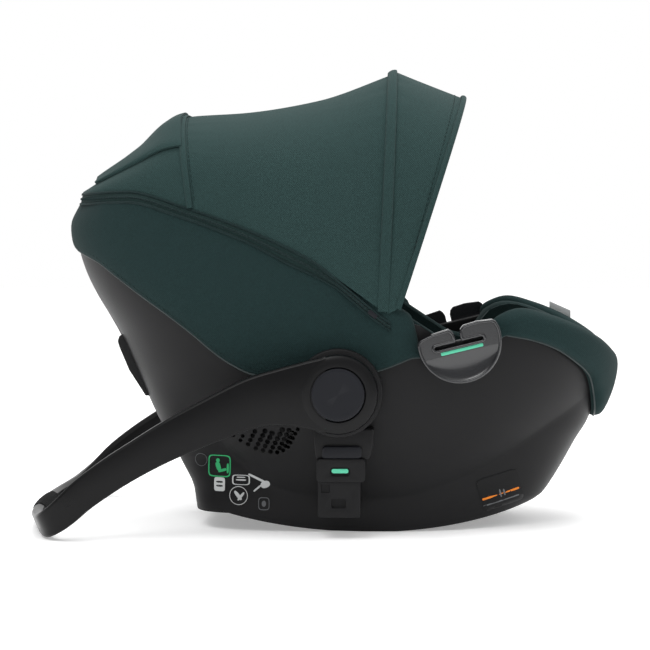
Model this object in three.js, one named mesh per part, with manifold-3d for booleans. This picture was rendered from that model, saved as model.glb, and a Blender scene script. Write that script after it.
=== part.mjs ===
// Infant car seat with a swing-back carrying handle, a folding canopy and a moving headrest.
// Millimetres, +Z up. +X is the foot end and -Y the child's right. The seat stands on the floor at z = 0,
// on its two rockers and on the crossbar of the handle, which is swung back and down.
import * as THREE from 'three';
import { mergeVertices } from 'three/addons/utils/BufferGeometryUtils.js';
import Module from 'manifold-3d';

const wasm = await Module();
wasm.setup();

// ---------------------------------------------------------------- driving dimensions
const GAP = 0.4; // air between pieces that touch
const WALL = 4; // plastic wall of the outer shell
const HUB = { x: 19.6, z: 166.8, radius: 45, bossRadius: 50, capRadius: 30 };
const ARM = { inner: 197, outer: 217 }; // the two faces of a handle arm, as |y|
const CANOPY_PIVOT = { x: 78, z: 240, y0: -195, y1: -188.4 };
const PLAN_POWER = 2.5; // superellipse power of the shell seen from above
const ROCKER = { x: 55, radius: 650, flat: 30 }; // middle of the flat it rests on, radius, half the flat

// Outlines as pairs that a smooth curve joins. Lengths are in millimetres.
const HEAD_END_X = curve([[0, -130], [20, -142], [38, -152], [72, -171], [123, -198.6], [166, -218], [194, -230],
  [224, -243], [274, -273], [303, -286], [325, -292], [350, -294], [378, -291.5], [420, -288]]);
const FOOT_END_X = curve([[0, 228], [22, 244], [34, 261], [46, 270], [72, 286], [99, 301], [120, 314], [150, 325],
  [180, 332], [210, 335], [420, 335]]);
const RIM_Z = curve([[-300, 378], [-222, 382], [-160, 366], [-89, 340], [-27, 309], [20, 290], [60, 278], [92, 257],
  [117.5, 240.4], [143, 224], [153, 217.5], [165, 214], [180, 216], [200, 246], [229, 256], [259, 249], [287, 238], [316, 220], [335, 200]]);
const HEAD_COVER_EDGE_Z = curve([[-294, 325], [-260, 311], [-240, 297], [-208, 274], [-175, 251], [-147, 230],
  [-124, 211], [-105, 198], [-79, 186], [-30, 178], [30, 182], [68, 192], [103, 206]]);
const FOOT_COVER_EDGE_Z = curve([[193, 236], [207, 231], [235, 225], [262, 215], [287, 198], [305, 180], [311, 163],
  [314.5, 143], [316.5, 118]]);
const CREASE_Z = curve([[-300, 420], [-250, 300], [-215, 218], [-171, 154], [-123, 105], [-85, 69], [-52, 52], [0, 41],
  [40, 38], [83, 40], [142, 56], [182, 73], [231, 102], [262, 122], [305, 150], [340, 178]]);
const BOWL = { depth: 49, softness: 52 }; // how far, and how quickly, the bowl swells above the crease
const COVER_ENDS = { head: 105, foot: 194 }; // x where the two fabric covers stop, on either side of the belt guides
const CAVITY_HEAD_X = curve([[74, 40], [80, 0], [98, -60], [130, -110], [180, -158], [235, -198], [300, -233],
  [365, -258], [390, -264]]);
const CAVITY_FOOT_X = curve([[74, 60], [82, 120], [104, 178], [140, 234], [180, 274], [205, 292], [260, 299],
  [390, 299]]);
const CAVITY_Y = curve([[74, 20], [80, 78], [90, 98], [110, 118], [150, 136], [200, 147], [250, 152], [390, 152]]);
const CAVITY_FLOOR_Z = 74;
const CANOPY_BASE = { // where the canopy meets the cover: x, |y| and z from the head end to the pivot
  x: curve([[0, -287], [0.15, -274], [0.35, -222], [0.55, -148], [0.7, -85], [0.85, -14], [1, 74]]),
  y: curve([[0, 30], [0.15, 84], [0.35, 134], [0.55, 167], [0.7, 181], [0.85, 188.5], [1, 195]]),
  z: curve([[0, 387.5], [0.15, 388.5], [0.35, 391], [0.55, 371], [0.7, 349], [0.85, 316], [1, 256]]),
};
const CANOPY_TOP = { // the ridge over the middle, from the head end to the front bow
  x: curve([[0, -288], [0.15, -266], [0.35, -213], [0.55, -164], [0.7, -88], [0.85, -6], [1, 86]]),
  z: curve([[0, 391], [0.15, 404], [0.35, 440], [0.55, 480], [0.7, 486], [0.85, 500], [1, 533]]),
};
const CANOPY_POWER = 2.6; // superellipse power of an arch of the canopy
const CANOPY_CLOTH = 2.4;
const BOW_RADIUS = 2.2;
const REAR_BOW_AT = 0.55; // where along the canopy the rear bow stands
const VISOR = { x: 166, z: 502, baseX: 87, baseZ: 262 };

// ---------------------------------------------------------------- small tools
// A smooth curve through [x, y] pairs that never overshoots, as a function of x.
function curve(pairs) {
  const n = pairs.length;
  const slope = pairs.slice(1).map(([x, y], i) => (y - pairs[i][1]) / (x - pairs[i][0]));
  const tangent = pairs.map((_, i) => {
    if (i === 0) return slope[0];
    if (i === n - 1) return slope[n - 2];
    const [a, b] = [slope[i - 1], slope[i]];
    return a * b <= 0 ? 0 : (2 * a * b) / (a + b);
  });
  return (x) => {
    if (x <= pairs[0][0]) return pairs[0][1];
    if (x >= pairs[n - 1][0]) return pairs[n - 1][1];
    const i = pairs.findIndex(([px]) => px > x) - 1;
    const [x0, y0] = pairs[i];
    const [x1, y1] = pairs[i + 1];
    const h = x1 - x0;
    const t = (x - x0) / h;
    return (2 * t ** 3 - 3 * t ** 2 + 1) * y0 + (t ** 3 - 2 * t ** 2 + t) * h * tangent[i]
      + (3 * t ** 2 - 2 * t ** 3) * y1 + (t ** 3 - t ** 2) * h * tangent[i + 1];
  };
}

const vec = (x, y, z) => new THREE.Vector3(x, y, z);
const power = (v, p) => Math.sign(v) * Math.abs(v) ** p;
const count = (n, make) => Array.from({ length: n }, (_, i) => make(i));
const lerp = (a, b, t) => a + (b - a) * t;

// A geometry from points and triangles, turned so that its faces point out.
function closed(points, triangles) {
  let volume = 0;
  for (const [a, b, c] of triangles) volume += points[a].dot(vec(0, 0, 0).crossVectors(points[b], points[c]));
  const facing = volume < 0 ? triangles.map(([a, b, c]) => [a, c, b]) : triangles;
  const geometry = new THREE.BufferGeometry();
  geometry.setAttribute('position', new THREE.Float32BufferAttribute(points.flatMap((p) => p.toArray()), 3));
  geometry.setIndex(facing.flat());
  return geometry;
}

// A wall between two grids of points with equal rows. loop joins each row's end to its start, and tip closes the
// last row on one point, as the bottom of a bowl.
function wallBetween(front, back, { loop = false, tip = false } = {}) {
  const rows = front.length;
  const columns = front[0].length;
  const points = [...front.flat(), ...back.flat()];
  const triangles = [];
  const at = (side, r, c) => side * rows * columns + r * columns + (c % columns);
  const spans = loop ? columns : columns - 1;
  const quad = (a, b, c, d) => {
    const farHalf = Math.min(a, b, c, d) % columns >= spans / 2; // mirrors the diagonals of the other half
    triangles.push(...(farHalf ? [[a, b, d], [b, c, d]] : [[a, b, c], [a, c, d]]));
  };
  for (let c = 0; c < spans; c++) {
    for (let r = 0; r < rows - 1; r++) {
      quad(at(0, r, c), at(0, r, c + 1), at(0, r + 1, c + 1), at(0, r + 1, c));
      quad(at(1, r, c), at(1, r + 1, c), at(1, r + 1, c + 1), at(1, r, c + 1));
    }
    quad(at(0, 0, c), at(1, 0, c), at(1, 0, c + 1), at(0, 0, c + 1));
    if (!tip) quad(at(0, rows - 1, c), at(0, rows - 1, c + 1), at(1, rows - 1, c + 1), at(1, rows - 1, c));
  }
  if (!loop) {
    for (let r = 0; r < rows - 1; r++) {
      quad(at(0, r, 0), at(0, r + 1, 0), at(1, r + 1, 0), at(1, r, 0));
      quad(at(0, r, spans), at(1, r, spans), at(1, r + 1, spans), at(0, r + 1, spans));
    }
  }
  if (tip) {
    for (const [side, grid] of [[0, front], [1, back]]) {
      const middle = grid[rows - 1].reduce((sum, p) => sum.add(p), vec(0, 0, 0)).divideScalar(columns);
      points.push(middle);
      for (let c = 0; c < spans; c++) {
        const [a, b] = [at(side, rows - 1, c), at(side, rows - 1, c + 1)];
        triangles.push(side ? [b, a, points.length - 1] : [a, b, points.length - 1]);
      }
    }
  }
  return closed(points, triangles);
}

// A solid through closed sections with equal counts of points, with flat ends.
function loft(sections) {
  const n = sections[0].length;
  const points = sections.flat();
  const triangles = [];
  for (let s = 0; s < sections.length - 1; s++) {
    for (let i = 0; i < n; i++) {
      const [a, b] = [s * n + i, s * n + ((i + 1) % n)];
      triangles.push([a, b, b + n], [a, b + n, a + n]);
    }
  }
  for (const [start, flip] of [[0, true], [(sections.length - 1) * n, false]]) {
    const middle = sections[start / n].reduce((sum, p) => sum.add(p), vec(0, 0, 0)).divideScalar(n);
    points.push(middle);
    for (let i = 0; i < n; i++) {
      const [a, b] = [start + i, start + ((i + 1) % n)];
      triangles.push(flip ? [b, a, points.length - 1] : [a, b, points.length - 1]);
    }
  }
  return closed(points, triangles);
}

// A closed section with rounded corners in the plane of two directions, wide along u and thick along v.
function roundedSection(centre, u, v, width, thickness, corners = 12, squareness = 4) {
  return count(corners, (i) => {
    const angle = ((i + 0.5) / corners) * 2 * Math.PI;
    return centre.clone()
      .addScaledVector(u, (width / 2) * power(Math.cos(angle), 2 / squareness))
      .addScaledVector(v, (thickness / 2) * power(Math.sin(angle), 2 / squareness));
  });
}

// A flat band, such as webbing, along a smooth path. across gives the direction of its width.
function band(route, across, width, thickness, { steps = 8, corners = 4, squareness = 12 } = {}) {
  const path = new THREE.CatmullRomCurve3(route.map((p) => vec(...p)));
  const u = vec(...across).normalize();
  return loft(count(steps + 1, (i) => {
    const along = path.getTangentAt(i / steps);
    const v = vec(0, 0, 0).crossVectors(along, u).normalize();
    const level = vec(0, 0, 0).crossVectors(v, along).normalize();
    return roundedSection(path.getPointAt(i / steps), level, v, width, thickness, corners, squareness);
  }));
}

// A round bar along a smooth path.
function bar(path, radius, steps, sides = 8) {
  const outline = new THREE.Shape(count(sides, (i) => new THREE.Vector2(
    radius * Math.cos((i / sides) * 2 * Math.PI), radius * Math.sin((i / sides) * 2 * Math.PI))));
  return new THREE.ExtrudeGeometry(outline, { steps, bevelEnabled: false, extrudePath: path });
}

// A plate whose outline is drawn in x and z, between two values of y.
function plate(shape, y0, y1, curveSegments = 3) {
  const geometry = new THREE.ExtrudeGeometry(shape, { depth: y1 - y0, bevelEnabled: false, curveSegments });
  return geometry.rotateX(Math.PI / 2).translate(0, y1, 0);
}

function roundedRectangle(x0, z0, x1, z1, r) {
  const shape = new THREE.Shape();
  shape.moveTo(x0 + r, z0).lineTo(x1 - r, z0).absarc(x1 - r, z0 + r, r, -Math.PI / 2, 0);
  shape.lineTo(x1, z1 - r).absarc(x1 - r, z1 - r, r, 0, Math.PI / 2);
  shape.lineTo(x0 + r, z1).absarc(x0 + r, z1 - r, r, Math.PI / 2, Math.PI);
  shape.lineTo(x0, z0 + r).absarc(x0 + r, z0 + r, r, Math.PI, 1.5 * Math.PI);
  return shape;
}

// A box by its lowest and highest corners.
function box([x0, y0, z0], [x1, y1, z1]) {
  return new THREE.BoxGeometry(x1 - x0, y1 - y0, z1 - z0).translate((x0 + x1) / 2, (y0 + y1) / 2, (z0 + z1) / 2);
}

// A cylinder along Y, centred on x and z, between two values of y.
function drum(x, z, radius, y0, y1, sides = 16) {
  return new THREE.CylinderGeometry(radius, radius, y1 - y0, sides).translate(x, (y0 + y1) / 2, z);
}

// A solid of revolution about a line along Y through x and z, from [radius, y] pairs that start and end on the line.
function turned(x, z, profile, sides = 24) {
  const geometry = new THREE.LatheGeometry(profile.map(([r, y]) => new THREE.Vector2(r, y)), sides);
  return fromManifold(toManifold(geometry)).translate(x, 0, z);
}

function toManifold(geometry) {
  const plain = new THREE.BufferGeometry().setAttribute('position', geometry.getAttribute('position').clone());
  if (geometry.index) plain.setIndex(geometry.index.clone());
  const merged = mergeVertices(plain, 1e-3);
  const made = new wasm.Manifold(new wasm.Mesh({
    numProp: 3,
    vertProperties: new Float32Array(merged.attributes.position.array),
    triVerts: new Uint32Array(merged.index.array),
  }));
  if (made.volume() >= 0) return made;
  const triVerts = new Uint32Array(merged.index.array);
  for (let i = 0; i < triVerts.length; i += 3) [triVerts[i + 1], triVerts[i + 2]] = [triVerts[i + 2], triVerts[i + 1]];
  return new wasm.Manifold(new wasm.Mesh({
    numProp: 3, vertProperties: new Float32Array(merged.attributes.position.array), triVerts,
  }));
}

function fromManifold(manifold) {
  const mesh = manifold.getMesh();
  const geometry = new THREE.BufferGeometry();
  geometry.setAttribute('position', new THREE.BufferAttribute(new Float32Array(mesh.vertProperties), 3));
  geometry.setIndex(new THREE.BufferAttribute(new Uint32Array(mesh.triVerts), 1));
  return geometry;
}

// The largest body of a solid, without the slivers that trimming leaves.
const largest = (manifold) => manifold.decompose().reduce((a, b) => (b.volume() > a.volume() ? b : a));
const join = (first, ...others) => fromManifold(others.reduce((sum, g) => sum.add(toManifold(g)), toManifold(first)));
const cut = (first, ...others) => fromManifold(
  largest(others.reduce((rest, g) => rest.subtract(toManifold(g)), toManifold(first))));
const common = (a, b) => fromManifold(largest(toManifold(a).intersect(toManifold(b))));

// The same solid on the other side of the plane y = 0.
function mirrored(geometry) {
  const points = geometry.getAttribute('position');
  const index = geometry.index ? [...geometry.index.array] : count(points.count, (i) => i);
  const list = count(points.count, (i) => vec(points.getX(i), -points.getY(i), points.getZ(i)));
  return closed(list, count(index.length / 3, (i) => [index[3 * i], index[3 * i + 2], index[3 * i + 1]]));
}

// ---------------------------------------------------------------- the shape of the shell
// Lower edge of the side walls: a rocker with a short flat where it rests.
function rockerZ(x) {
  const rise = Math.max(0, (x - ROCKER.x) ** 2 - ROCKER.flat ** 2) / (2 * ROCKER.radius);
  return x < ROCKER.x ? Math.min(rise, 20) : rise;
}

// Half width of the bowl beyond the skirt, at a height above the crease.
const swell = (above) => (above <= 0 ? 0 : BOWL.depth * (1 - Math.exp(-above / BOWL.softness)));

// A point of the outer wall, at an angle round the plan (0 at the foot end) and a height.
function wallPoint(angle, z) {
  const head = HEAD_END_X(z);
  const foot = FOOT_END_X(z);
  const x = (head + foot) / 2 + ((foot - head) / 2) * power(Math.cos(angle), 2 / PLAN_POWER);
  const skirt = (120 + 0.05 * z) * power(Math.sin(angle), 2 / PLAN_POWER);
  const bowl = Math.sign(Math.sin(angle)) * swell(z - CREASE_Z(x)) * Math.abs(Math.sin(angle)) ** 0.8;
  return vec(x, skirt + bowl, z);
}

// The height where the wall at an angle meets a curve of x.
function meet(angle, heightAt) {
  let [low, high] = [0, 400];
  for (let i = 0; i < 40; i++) {
    const z = (low + high) / 2;
    if (z < heightAt(wallPoint(angle, z).x)) low = z;
    else high = z;
  }
  return (low + high) / 2;
}

// Outward direction of the wall.
function wallNormal(angle, z) {
  const d = 0.01;
  const round = wallPoint(angle + d, z).sub(wallPoint(angle - d, z));
  const up = wallPoint(angle, z + 2).sub(wallPoint(angle, z - 2));
  return vec(0, 0, 0).crossVectors(round, up).normalize();
}

const offWall = (angle, z, distance) => wallPoint(angle, z).addScaledVector(wallNormal(angle, z), distance);

// Half width of the outer wall at x and z.
function wallY(x, z) {
  const [head, foot] = [HEAD_END_X(z), FOOT_END_X(z)];
  const t = Math.min(1, Math.abs((x - (head + foot) / 2) / ((foot - head) / 2)));
  const round = (1 - t ** PLAN_POWER) ** 0.5;
  return (120 + 0.05 * z) * round ** (2 / PLAN_POWER) + swell(z - CREASE_Z(x)) * round ** 0.8;
}

// A point of the seat's inside, at an angle round the plan and a height. inset moves it inwards and up.
function cavityPoint(angle, z, inset = 0) {
  const level = Math.max(CAVITY_FLOOR_Z + 0.01, z - inset);
  const [head, foot] = [CAVITY_HEAD_X(level) + inset * 0.7, CAVITY_FOOT_X(level) - inset * 0.9];
  return vec((head + foot) / 2 + ((foot - head) / 2) * power(Math.cos(angle), 0.8),
    (CAVITY_Y(level) - inset) * power(Math.sin(angle), 0.8), z);
}

// The height of the seat's inside over x and y, for the same inset.
function cavityZ(x, y, inset = 0) {
  let [low, high] = [CAVITY_FLOOR_Z + inset, 400];
  for (let i = 0; i < 30; i++) {
    const z = (low + high) / 2;
    const level = z - inset;
    const [head, foot] = [CAVITY_HEAD_X(level) + inset * 0.7, CAVITY_FOOT_X(level) - inset * 0.9];
    const t = Math.abs((x - (head + foot) / 2) / ((foot - head) / 2));
    const inside = t ** 2.5 + Math.abs(y / (CAVITY_Y(level) - inset)) ** 2.5 < 1;
    if (inside) high = z;
    else low = z;
  }
  return (low + high) / 2;
}

// A bowl-shaped lining between two insets from the cavity, up to a rim that stands below the shell's.
function lining(outside, inside, belowRim, columns, rows) {
  const grid = (inset) => count(rows, (r) => count(columns, (c) => {
    const angle = (c / columns) * 2 * Math.PI;
    let top = 300;
    for (let i = 0; i < 12; i++) top = RIM_Z(cavityPoint(angle, top, inset).x) - belowRim;
    const floor = CAVITY_FLOOR_Z + inset;
    return cavityPoint(angle, floor + (top - floor) * (1 - r / (rows - 1)) ** 1.6, inset);
  }));
  return wallBetween(grid(inside), grid(outside), { loop: true, tip: true });
}

// A cushion that lies on the seat between two insets, from x0 to x1, with a half width that varies along it.
function seatPatch(x0, x1, halfWidth, under, over, rows, columns) {
  const grid = (inset) => count(rows, (r) => count(columns, (c) => {
    const u = r / (rows - 1);
    const [x, y] = [lerp(x0, x1, u), halfWidth(u) * lerp(-1, 1, c / (columns - 1))];
    return vec(x, y, cavityZ(x, y, inset));
  }));
  return wallBetween(grid(over), grid(under));
}

// ---------------------------------------------------------------- casings
const SHELL_COLUMNS = 40;
const SHELL_ANGLES = count(SHELL_COLUMNS, (c) => ((c + 0.5) / SHELL_COLUMNS) * 2 * Math.PI);
const SHELL_HEIGHTS = [0, 0.08, 0.17, 0.28, 0.4, 0.54, 0.7, 0.86, 1];
const SHELL_BELOW_RIM = 8;

// The shell's wall between two distances from its outer face, raised at the top by rise.
function shellWall(outside, inside, rise = 0) {
  const limits = SHELL_ANGLES.map((a) => [meet(a, rockerZ), meet(a, (x) => RIM_Z(x) - SHELL_BELOW_RIM)]);
  const grid = (distance) => SHELL_HEIGHTS.map((h) => SHELL_ANGLES.map((a, c) => {
    const z = lerp(limits[c][0], limits[c][1], h);
    const p = offWall(a, z, distance);
    p.z = z + (h === 1 ? rise : 0) - (h === 0 ? rise : 0);
    return p;
  }));
  return wallBetween(grid(outside), grid(inside), { loop: true });
}

const SHELL_ENVELOPE = shellWall(GAP, -WALL - GAP, GAP); // the shell's wall with air all round, for cutting
const outerShell = () => cut(shellWall(0, -WALL), ...ventHoles(1), ...ventHoles(-1));

// Air holes in the side of the shell, in slanted rows.
function ventHoles(side) {
  const rows = [[-96, 114, 2], [-79, 106, 3], [-62, 106, 3], [-46, 113, 2]];
  return rows.flatMap(([x, z, n]) => count(n, (i) => {
    const hole = drum(x + 3.6 * i, z + 12 * i, 3.4, -200, -100, 6);
    return side > 0 ? hole : mirrored(hole);
  }));
}

// The inside of the shell as a solid, which trims the linings.
function shellInside() {
  return loft(count(14, (r) => SHELL_ANGLES.map((a) => {
    const z = lerp(26, 366, r / 13);
    const p = offWall(a, z, -WALL - 3);
    p.z = z;
    return p;
  })));
}

const trimmed = (geometry) => common(geometry, shellInside());

// The space inside the shell's outer face over a range of angles, for cutting pieces that sit on its outside.
function shellClearance(fromAngle = -Math.PI * 0.88, toAngle = -Math.PI * 0.12) {
  const angles = SHELL_ANGLES.map((a) => (toAngle > Math.PI ? a : a - 2 * Math.PI))
    .filter((a) => a > fromAngle && a < toAngle);
  const grid = (distance) => count(16, (r) => lerp(2, 300, r / 15)).map((z) => angles.map((a) => {
    const p = offWall(a, z, distance);
    p.z = z;
    return p;
  }));
  return wallBetween(grid(0), grid(-40));
}

// Round collar that carries one end of the handle, on the shell's right side.
function hubBoss() {
  const raw = drum(HUB.x, HUB.z, HUB.bossRadius, -(ARM.inner - 1), -150, 28);
  return cut(raw, drum(HUB.x, HUB.z, 12.5, -ARM.outer, 0, 16), shellClearance(), SHELL_ENVELOPE);
}

// Slab under the handle's hub with a socket, open downwards, that a stroller's adapter post goes into.
const ADAPTER = { x0: -3.5, x1: 45, z0: 25.5, z1: 112, face: 192, back: 128 };
const SOCKET = { x0: 1, x1: 39.5, y0: -183, y1: -163, z1: 84 };
function adapterHousing() {
  const { x0, x1, z0, z1, face, back } = ADAPTER;
  const lower = plate(roundedRectangle(x0, z0, x1, 67, 2), -face + 3, -back);
  const block = plate(roundedRectangle(x0 - 1.5, 66, x1 + 5, 92, 3), -face, -back);
  const upper = plate(roundedRectangle(x0 - 4, 90, x1 + 13, z1, 3), -face + 8, -back);
  const socket = box([SOCKET.x0, SOCKET.y0, z0 - 5], [SOCKET.x1, SOCKET.y1, SOCKET.z1]);
  const notch = box([12, -face - 5, 36], [28, -face + 5.5, 46.5]);
  const mark = box([0, -face - 5, 53.7], [10, -face + 4.2, 62.8]);
  const window = plate(roundedRectangle(10.4, 73.2, 33, 82.2, 4), -face - 5, -face + 2.2);
  return cut(join(lower, block, upper), socket, notch, mark, window, shellClearance(),
    SHELL_ENVELOPE);
}

// Coloured window that shows whether the seat is locked on its stroller.
const adapterWindow = () => plate(roundedRectangle(10.8, 73.6, 32.6, 81.8, 3.6), -ADAPTER.face - 0.2, -ADAPTER.face + 1.8);

// Lever that is pulled up to free the seat from its stroller.
const adapterLever = () => plate(roundedRectangle(1, 92.5, 46, 106.9, 5), -ADAPTER.face + 0.8, -ADAPTER.face + 7.6);

// Glide along the bottom of a side wall, with a flat that stands on the floor.
const RAIL = { width: 12, height: 14, stations: [-95, -60, -25, 0, 25, 85, 110, 140, 170, 195] };
function rockerRail() {
  return loft(RAIL.stations.map((x) => {
    const z = rockerZ(x);
    const y = -(Math.min(wallY(x, z), wallY(x, z + RAIL.height)) - WALL * 1.4 - GAP);
    return [vec(x, y, z), vec(x, y + RAIL.width, z), vec(x, y + RAIL.width, z + RAIL.height),
      vec(x, y, z + RAIL.height)];
  }));
}

// Raised catch on the back of the shell that guides a vehicle's diagonal belt.
function rearBeltHook() {
  const shape = new THREE.Shape([[-236, 224], [-243, 221], [-245, 215], [-243, 208], [-231.5, 180.5], [-212, 150],
    [-190, 150], [-210, 224]].map((p) => new THREE.Vector2(...p)));
  return cut(plate(shape, -36, 36), shellClearance(Math.PI * 0.7, Math.PI * 1.3), SHELL_ENVELOPE);
}

// ---------------------------------------------------------------- handle
const HANDLE_PLUMB = vec(-0.392, 0, 0.92); // square to the plane that the handle's bow lies in
const ARM_PATH = [ // middle of an arm, from the hub to the middle of the crossbar, with height and thickness
  { at: [6, -207, 166.8], tall: 86, thick: 20 }, { at: [-16, -207, 166.5], tall: 75, thick: 20 },
  { at: [-42, -207, 164.5], tall: 64, thick: 20 }, { at: [-76, -207, 157.5], tall: 56, thick: 20 },
  { at: [-125, -207, 136.5], tall: 49, thick: 20 }, { at: [-168, -207, 116], tall: 44, thick: 20 },
  { at: [-202, -206.5, 97], tall: 40, thick: 20 }, { at: [-234.6, -206, 77], tall: 38, thick: 20 },
  { at: [-267, -204, 53.5], tall: 36, thick: 20 }, { at: [-292, -199, 33], tall: 33, thick: 20 },
  { at: [-311, -184, 21.5], tall: 30, thick: 19 }, { at: [-321, -158, 17], tall: 27, thick: 18 },
  { at: [-332.5, -105, 15], tall: 25, thick: 16.5 }, { at: [-338, -52, 14.4], tall: 25, thick: 16 },
  { at: [-339.5, 0, 14.2], tall: 25, thick: 16 },
];

// Sections of the handle from the right hub round to the left one, over a range of stations. shrink makes each
// section smaller all round.
function handleSections(from, to, shrink = 0) {
  const half = ARM_PATH.map((p) => ({ ...p, at: vec(...p.at) }));
  const other = half.slice(0, -1).reverse().map((p) => ({ ...p, at: vec(p.at.x, -p.at.y, p.at.z) }));
  const all = [...half, ...other];
  return all.slice(from, to).map((p, i) => {
    const k = i + from;
    const along = all[Math.min(k + 1, all.length - 1)].at.clone().sub(all[Math.max(k - 1, 0)].at).normalize();
    const up = HANDLE_PLUMB.clone().addScaledVector(along, -HANDLE_PLUMB.dot(along)).normalize();
    const out = vec(0, 0, 0).crossVectors(along, up).normalize();
    return roundedSection(p.at, up, out, p.tall - shrink, p.thick - shrink, 10, 5);
  });
}

// A block that takes the inner third of the crossbar, smaller by inset all round.
function gripBlock(inset) {
  const block = new THREE.BoxGeometry(20, 116 - 2 * inset, 60).translate(12.5 + inset, 0, 0);
  return block.rotateY(-Math.atan2(0.392, 0.92)).translate(-339.5, 0, 14.2);
}

function handleFrame() {
  const hub = drum(HUB.x, HUB.z, HUB.radius, -ARM.outer, -ARM.inner, 28);
  const frame = join(loft(handleSections(0, 2 * ARM_PATH.length - 1)), hub, mirrored(hub));
  const seat = drum(HUB.x, HUB.z, HUB.capRadius + GAP, -300, -(ARM.outer - 9), 28);
  const hollow = loft(handleSections(3, 6, 14)).translate(0, 9, 0);
  return cut(frame, drum(HUB.x, HUB.z, 12.5, -300, 300, 16), seat, mirrored(seat), hollow, mirrored(hollow),
    gripBlock(0));
}

const handleGrip = () => common(loft(handleSections(11, 18, 0.3)), gripBlock(GAP));

// Panel that closes the hollow on the inner side of the right arm.
function armCover() {
  return common(loft(handleSections(3, 6, 14.8)).translate(0, 9, 0), box([-200, -201, 0], [0, -ARM.inner, 300]));
}

// Round button in the hub, which is pressed inwards to free the handle.
function releaseButton() {
  return turned(HUB.x, HUB.z, [[0, -ARM.outer - 2.6], [HUB.capRadius - 5, -ARM.outer - 2.2],
    [HUB.capRadius - 0.6, -ARM.outer - 0.8], [HUB.capRadius, -ARM.outer + 0.6], [HUB.capRadius, -ARM.outer + 3.5],
    [0, -ARM.outer + 3.5]], 24);
}

// Pin on which one end of the handle turns.
const hubAxle = () => turned(HUB.x, HUB.z, [[0, -177], [12, -177], [12, -(ARM.outer - 11)], [0, -(ARM.outer - 11)]], 16);

// ---------------------------------------------------------------- belt guides
const GUIDE = { x: 155.5, z: 226, tilt: 0.24, radius: 47.5, y0: -202, y1: -190 };

function guidePoint(u, v) {
  return new THREE.Vector2(GUIDE.x + u * Math.cos(GUIDE.tilt) - v * Math.sin(GUIDE.tilt),
    GUIDE.z + u * Math.sin(GUIDE.tilt) + v * Math.cos(GUIDE.tilt));
}

const guideOutline = (pairs) => new THREE.Shape(pairs.map(([u, v]) => guidePoint(u, v)));

// D-shaped hook plate with a T-shaped slot for the vehicle's lap belt, on a foot that stands on the shell.
function beltGuide() {
  const shape = new THREE.Shape();
  shape.absarc(GUIDE.x, GUIDE.z, GUIDE.radius, Math.PI + GUIDE.tilt, 2 * Math.PI + GUIDE.tilt);
  for (const [u, v] of [[GUIDE.radius, 6], [41.4, 15.7], [8, 16.5], [3.5, 12], [2, 8], [2, -0.3], [25, -0.3],
    [26.8, -2.2], [25, -4.1], [-27, -4.1], [-29, -2.2], [-27, -0.3], [-4, -0.3], [-4, 8], [-5.5, 12], [-9, 16.3],
    [-45.5, 9.3]]) {
    const p = guidePoint(u, v);
    shape.lineTo(p.x, p.y);
  }
  const foot = new THREE.Shape();
  foot.absarc(GUIDE.x, GUIDE.z, GUIDE.radius - 9, Math.PI + GUIDE.tilt, 2 * Math.PI + GUIDE.tilt);
  const groove = guideOutline([[-24, -11.3], [25.4, -11.3], [25.4, -7.7], [-24, -7.7]]);
  return cut(join(plate(shape, GUIDE.y0, GUIDE.y1, 9), plate(foot, GUIDE.y1 - 1, -140, 9)),
    plate(groove, GUIDE.y0 - 1, GUIDE.y0 + 1.4), shellClearance(), SHELL_ENVELOPE);
}

const beltGuideStrip = () => plate(guideOutline([[-23.6, -11], [25, -11], [25, -8], [-23.6, -8]]),
  GUIDE.y0 - 0.2, GUIDE.y0 + 1);

// ---------------------------------------------------------------- fabric covers
// A padded edge hooked over the shell's rim, between two shell columns.
function rimCover(angles, edgeZ, bulge, cuts) {
  const sections = angles.map((angle) => {
    const top = meet(angle, RIM_Z);
    const low = Math.min(meet(angle, edgeZ), top - 18);
    const at = (distance, z) => {
      const p = offWall(angle, z, distance);
      p.z = z;
      return p;
    };
    return [at(1.8, low), at(bulge * 0.85, lerp(low, top, 0.25)), at(bulge, lerp(low, top, 0.5)),
      at(bulge, lerp(low, top, 0.75)), at(bulge, top - 2), at(2, top + 4), at(-5, top + 5.5), at(-12, top + 3),
      at(-14, top - 5), at(-14, top - 30), at(-2, top - 30), at(-2, lerp(low, top, 0.5)), at(-2, low)];
  });
  return cut(loftByEars(sections), SHELL_ENVELOPE, ...cuts);
}

// A solid through closed sections that may bend back on themselves, with flat ends.
function loftByEars(sections) {
  const n = sections[0].length;
  const side = loft(sections);
  const index = [...side.index.array];
  const walls = (sections.length - 1) * n * 6;
  const triangles = count(walls / 3, (i) => index.slice(3 * i, 3 * i + 3));
  const flipped = triangles[0][0] === 0 && triangles[0][1] !== 1;
  for (const [start, flip] of [[0, !flipped], [(sections.length - 1) * n, flipped]]) {
    const ring = sections[start / n];
    const middle = ring.reduce((sum, p) => sum.add(p), vec(0, 0, 0)).divideScalar(n);
    const across = vec(middle.x, middle.y, 0).normalize();
    const flat = ring.map((p) => new THREE.Vector2(p.clone().sub(middle).dot(across), p.z));
    const turn = THREE.ShapeUtils.area(flat) < 0;
    for (const [a, b, c] of THREE.ShapeUtils.triangulateShape(flat, [])) {
      triangles.push(flip !== turn ? [start + c, start + b, start + a] : [start + a, start + b, start + c]);
    }
  }
  return closed(sections.flat(), triangles);
}

// ---------------------------------------------------------------- canopy
// A point of an arch that stands on base at its right end and passes over top.
function archPoint(base, top, across, lift) {
  const angle = across * Math.PI;
  const side = power(Math.cos(angle), 2 / CANOPY_POWER);
  const rise = Math.abs(Math.sin(angle)) ** (2 / CANOPY_POWER);
  return vec(lerp(base.x, top.x, rise), -(base.y + lift) * side, lerp(base.z, top.z + lift, rise));
}

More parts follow.
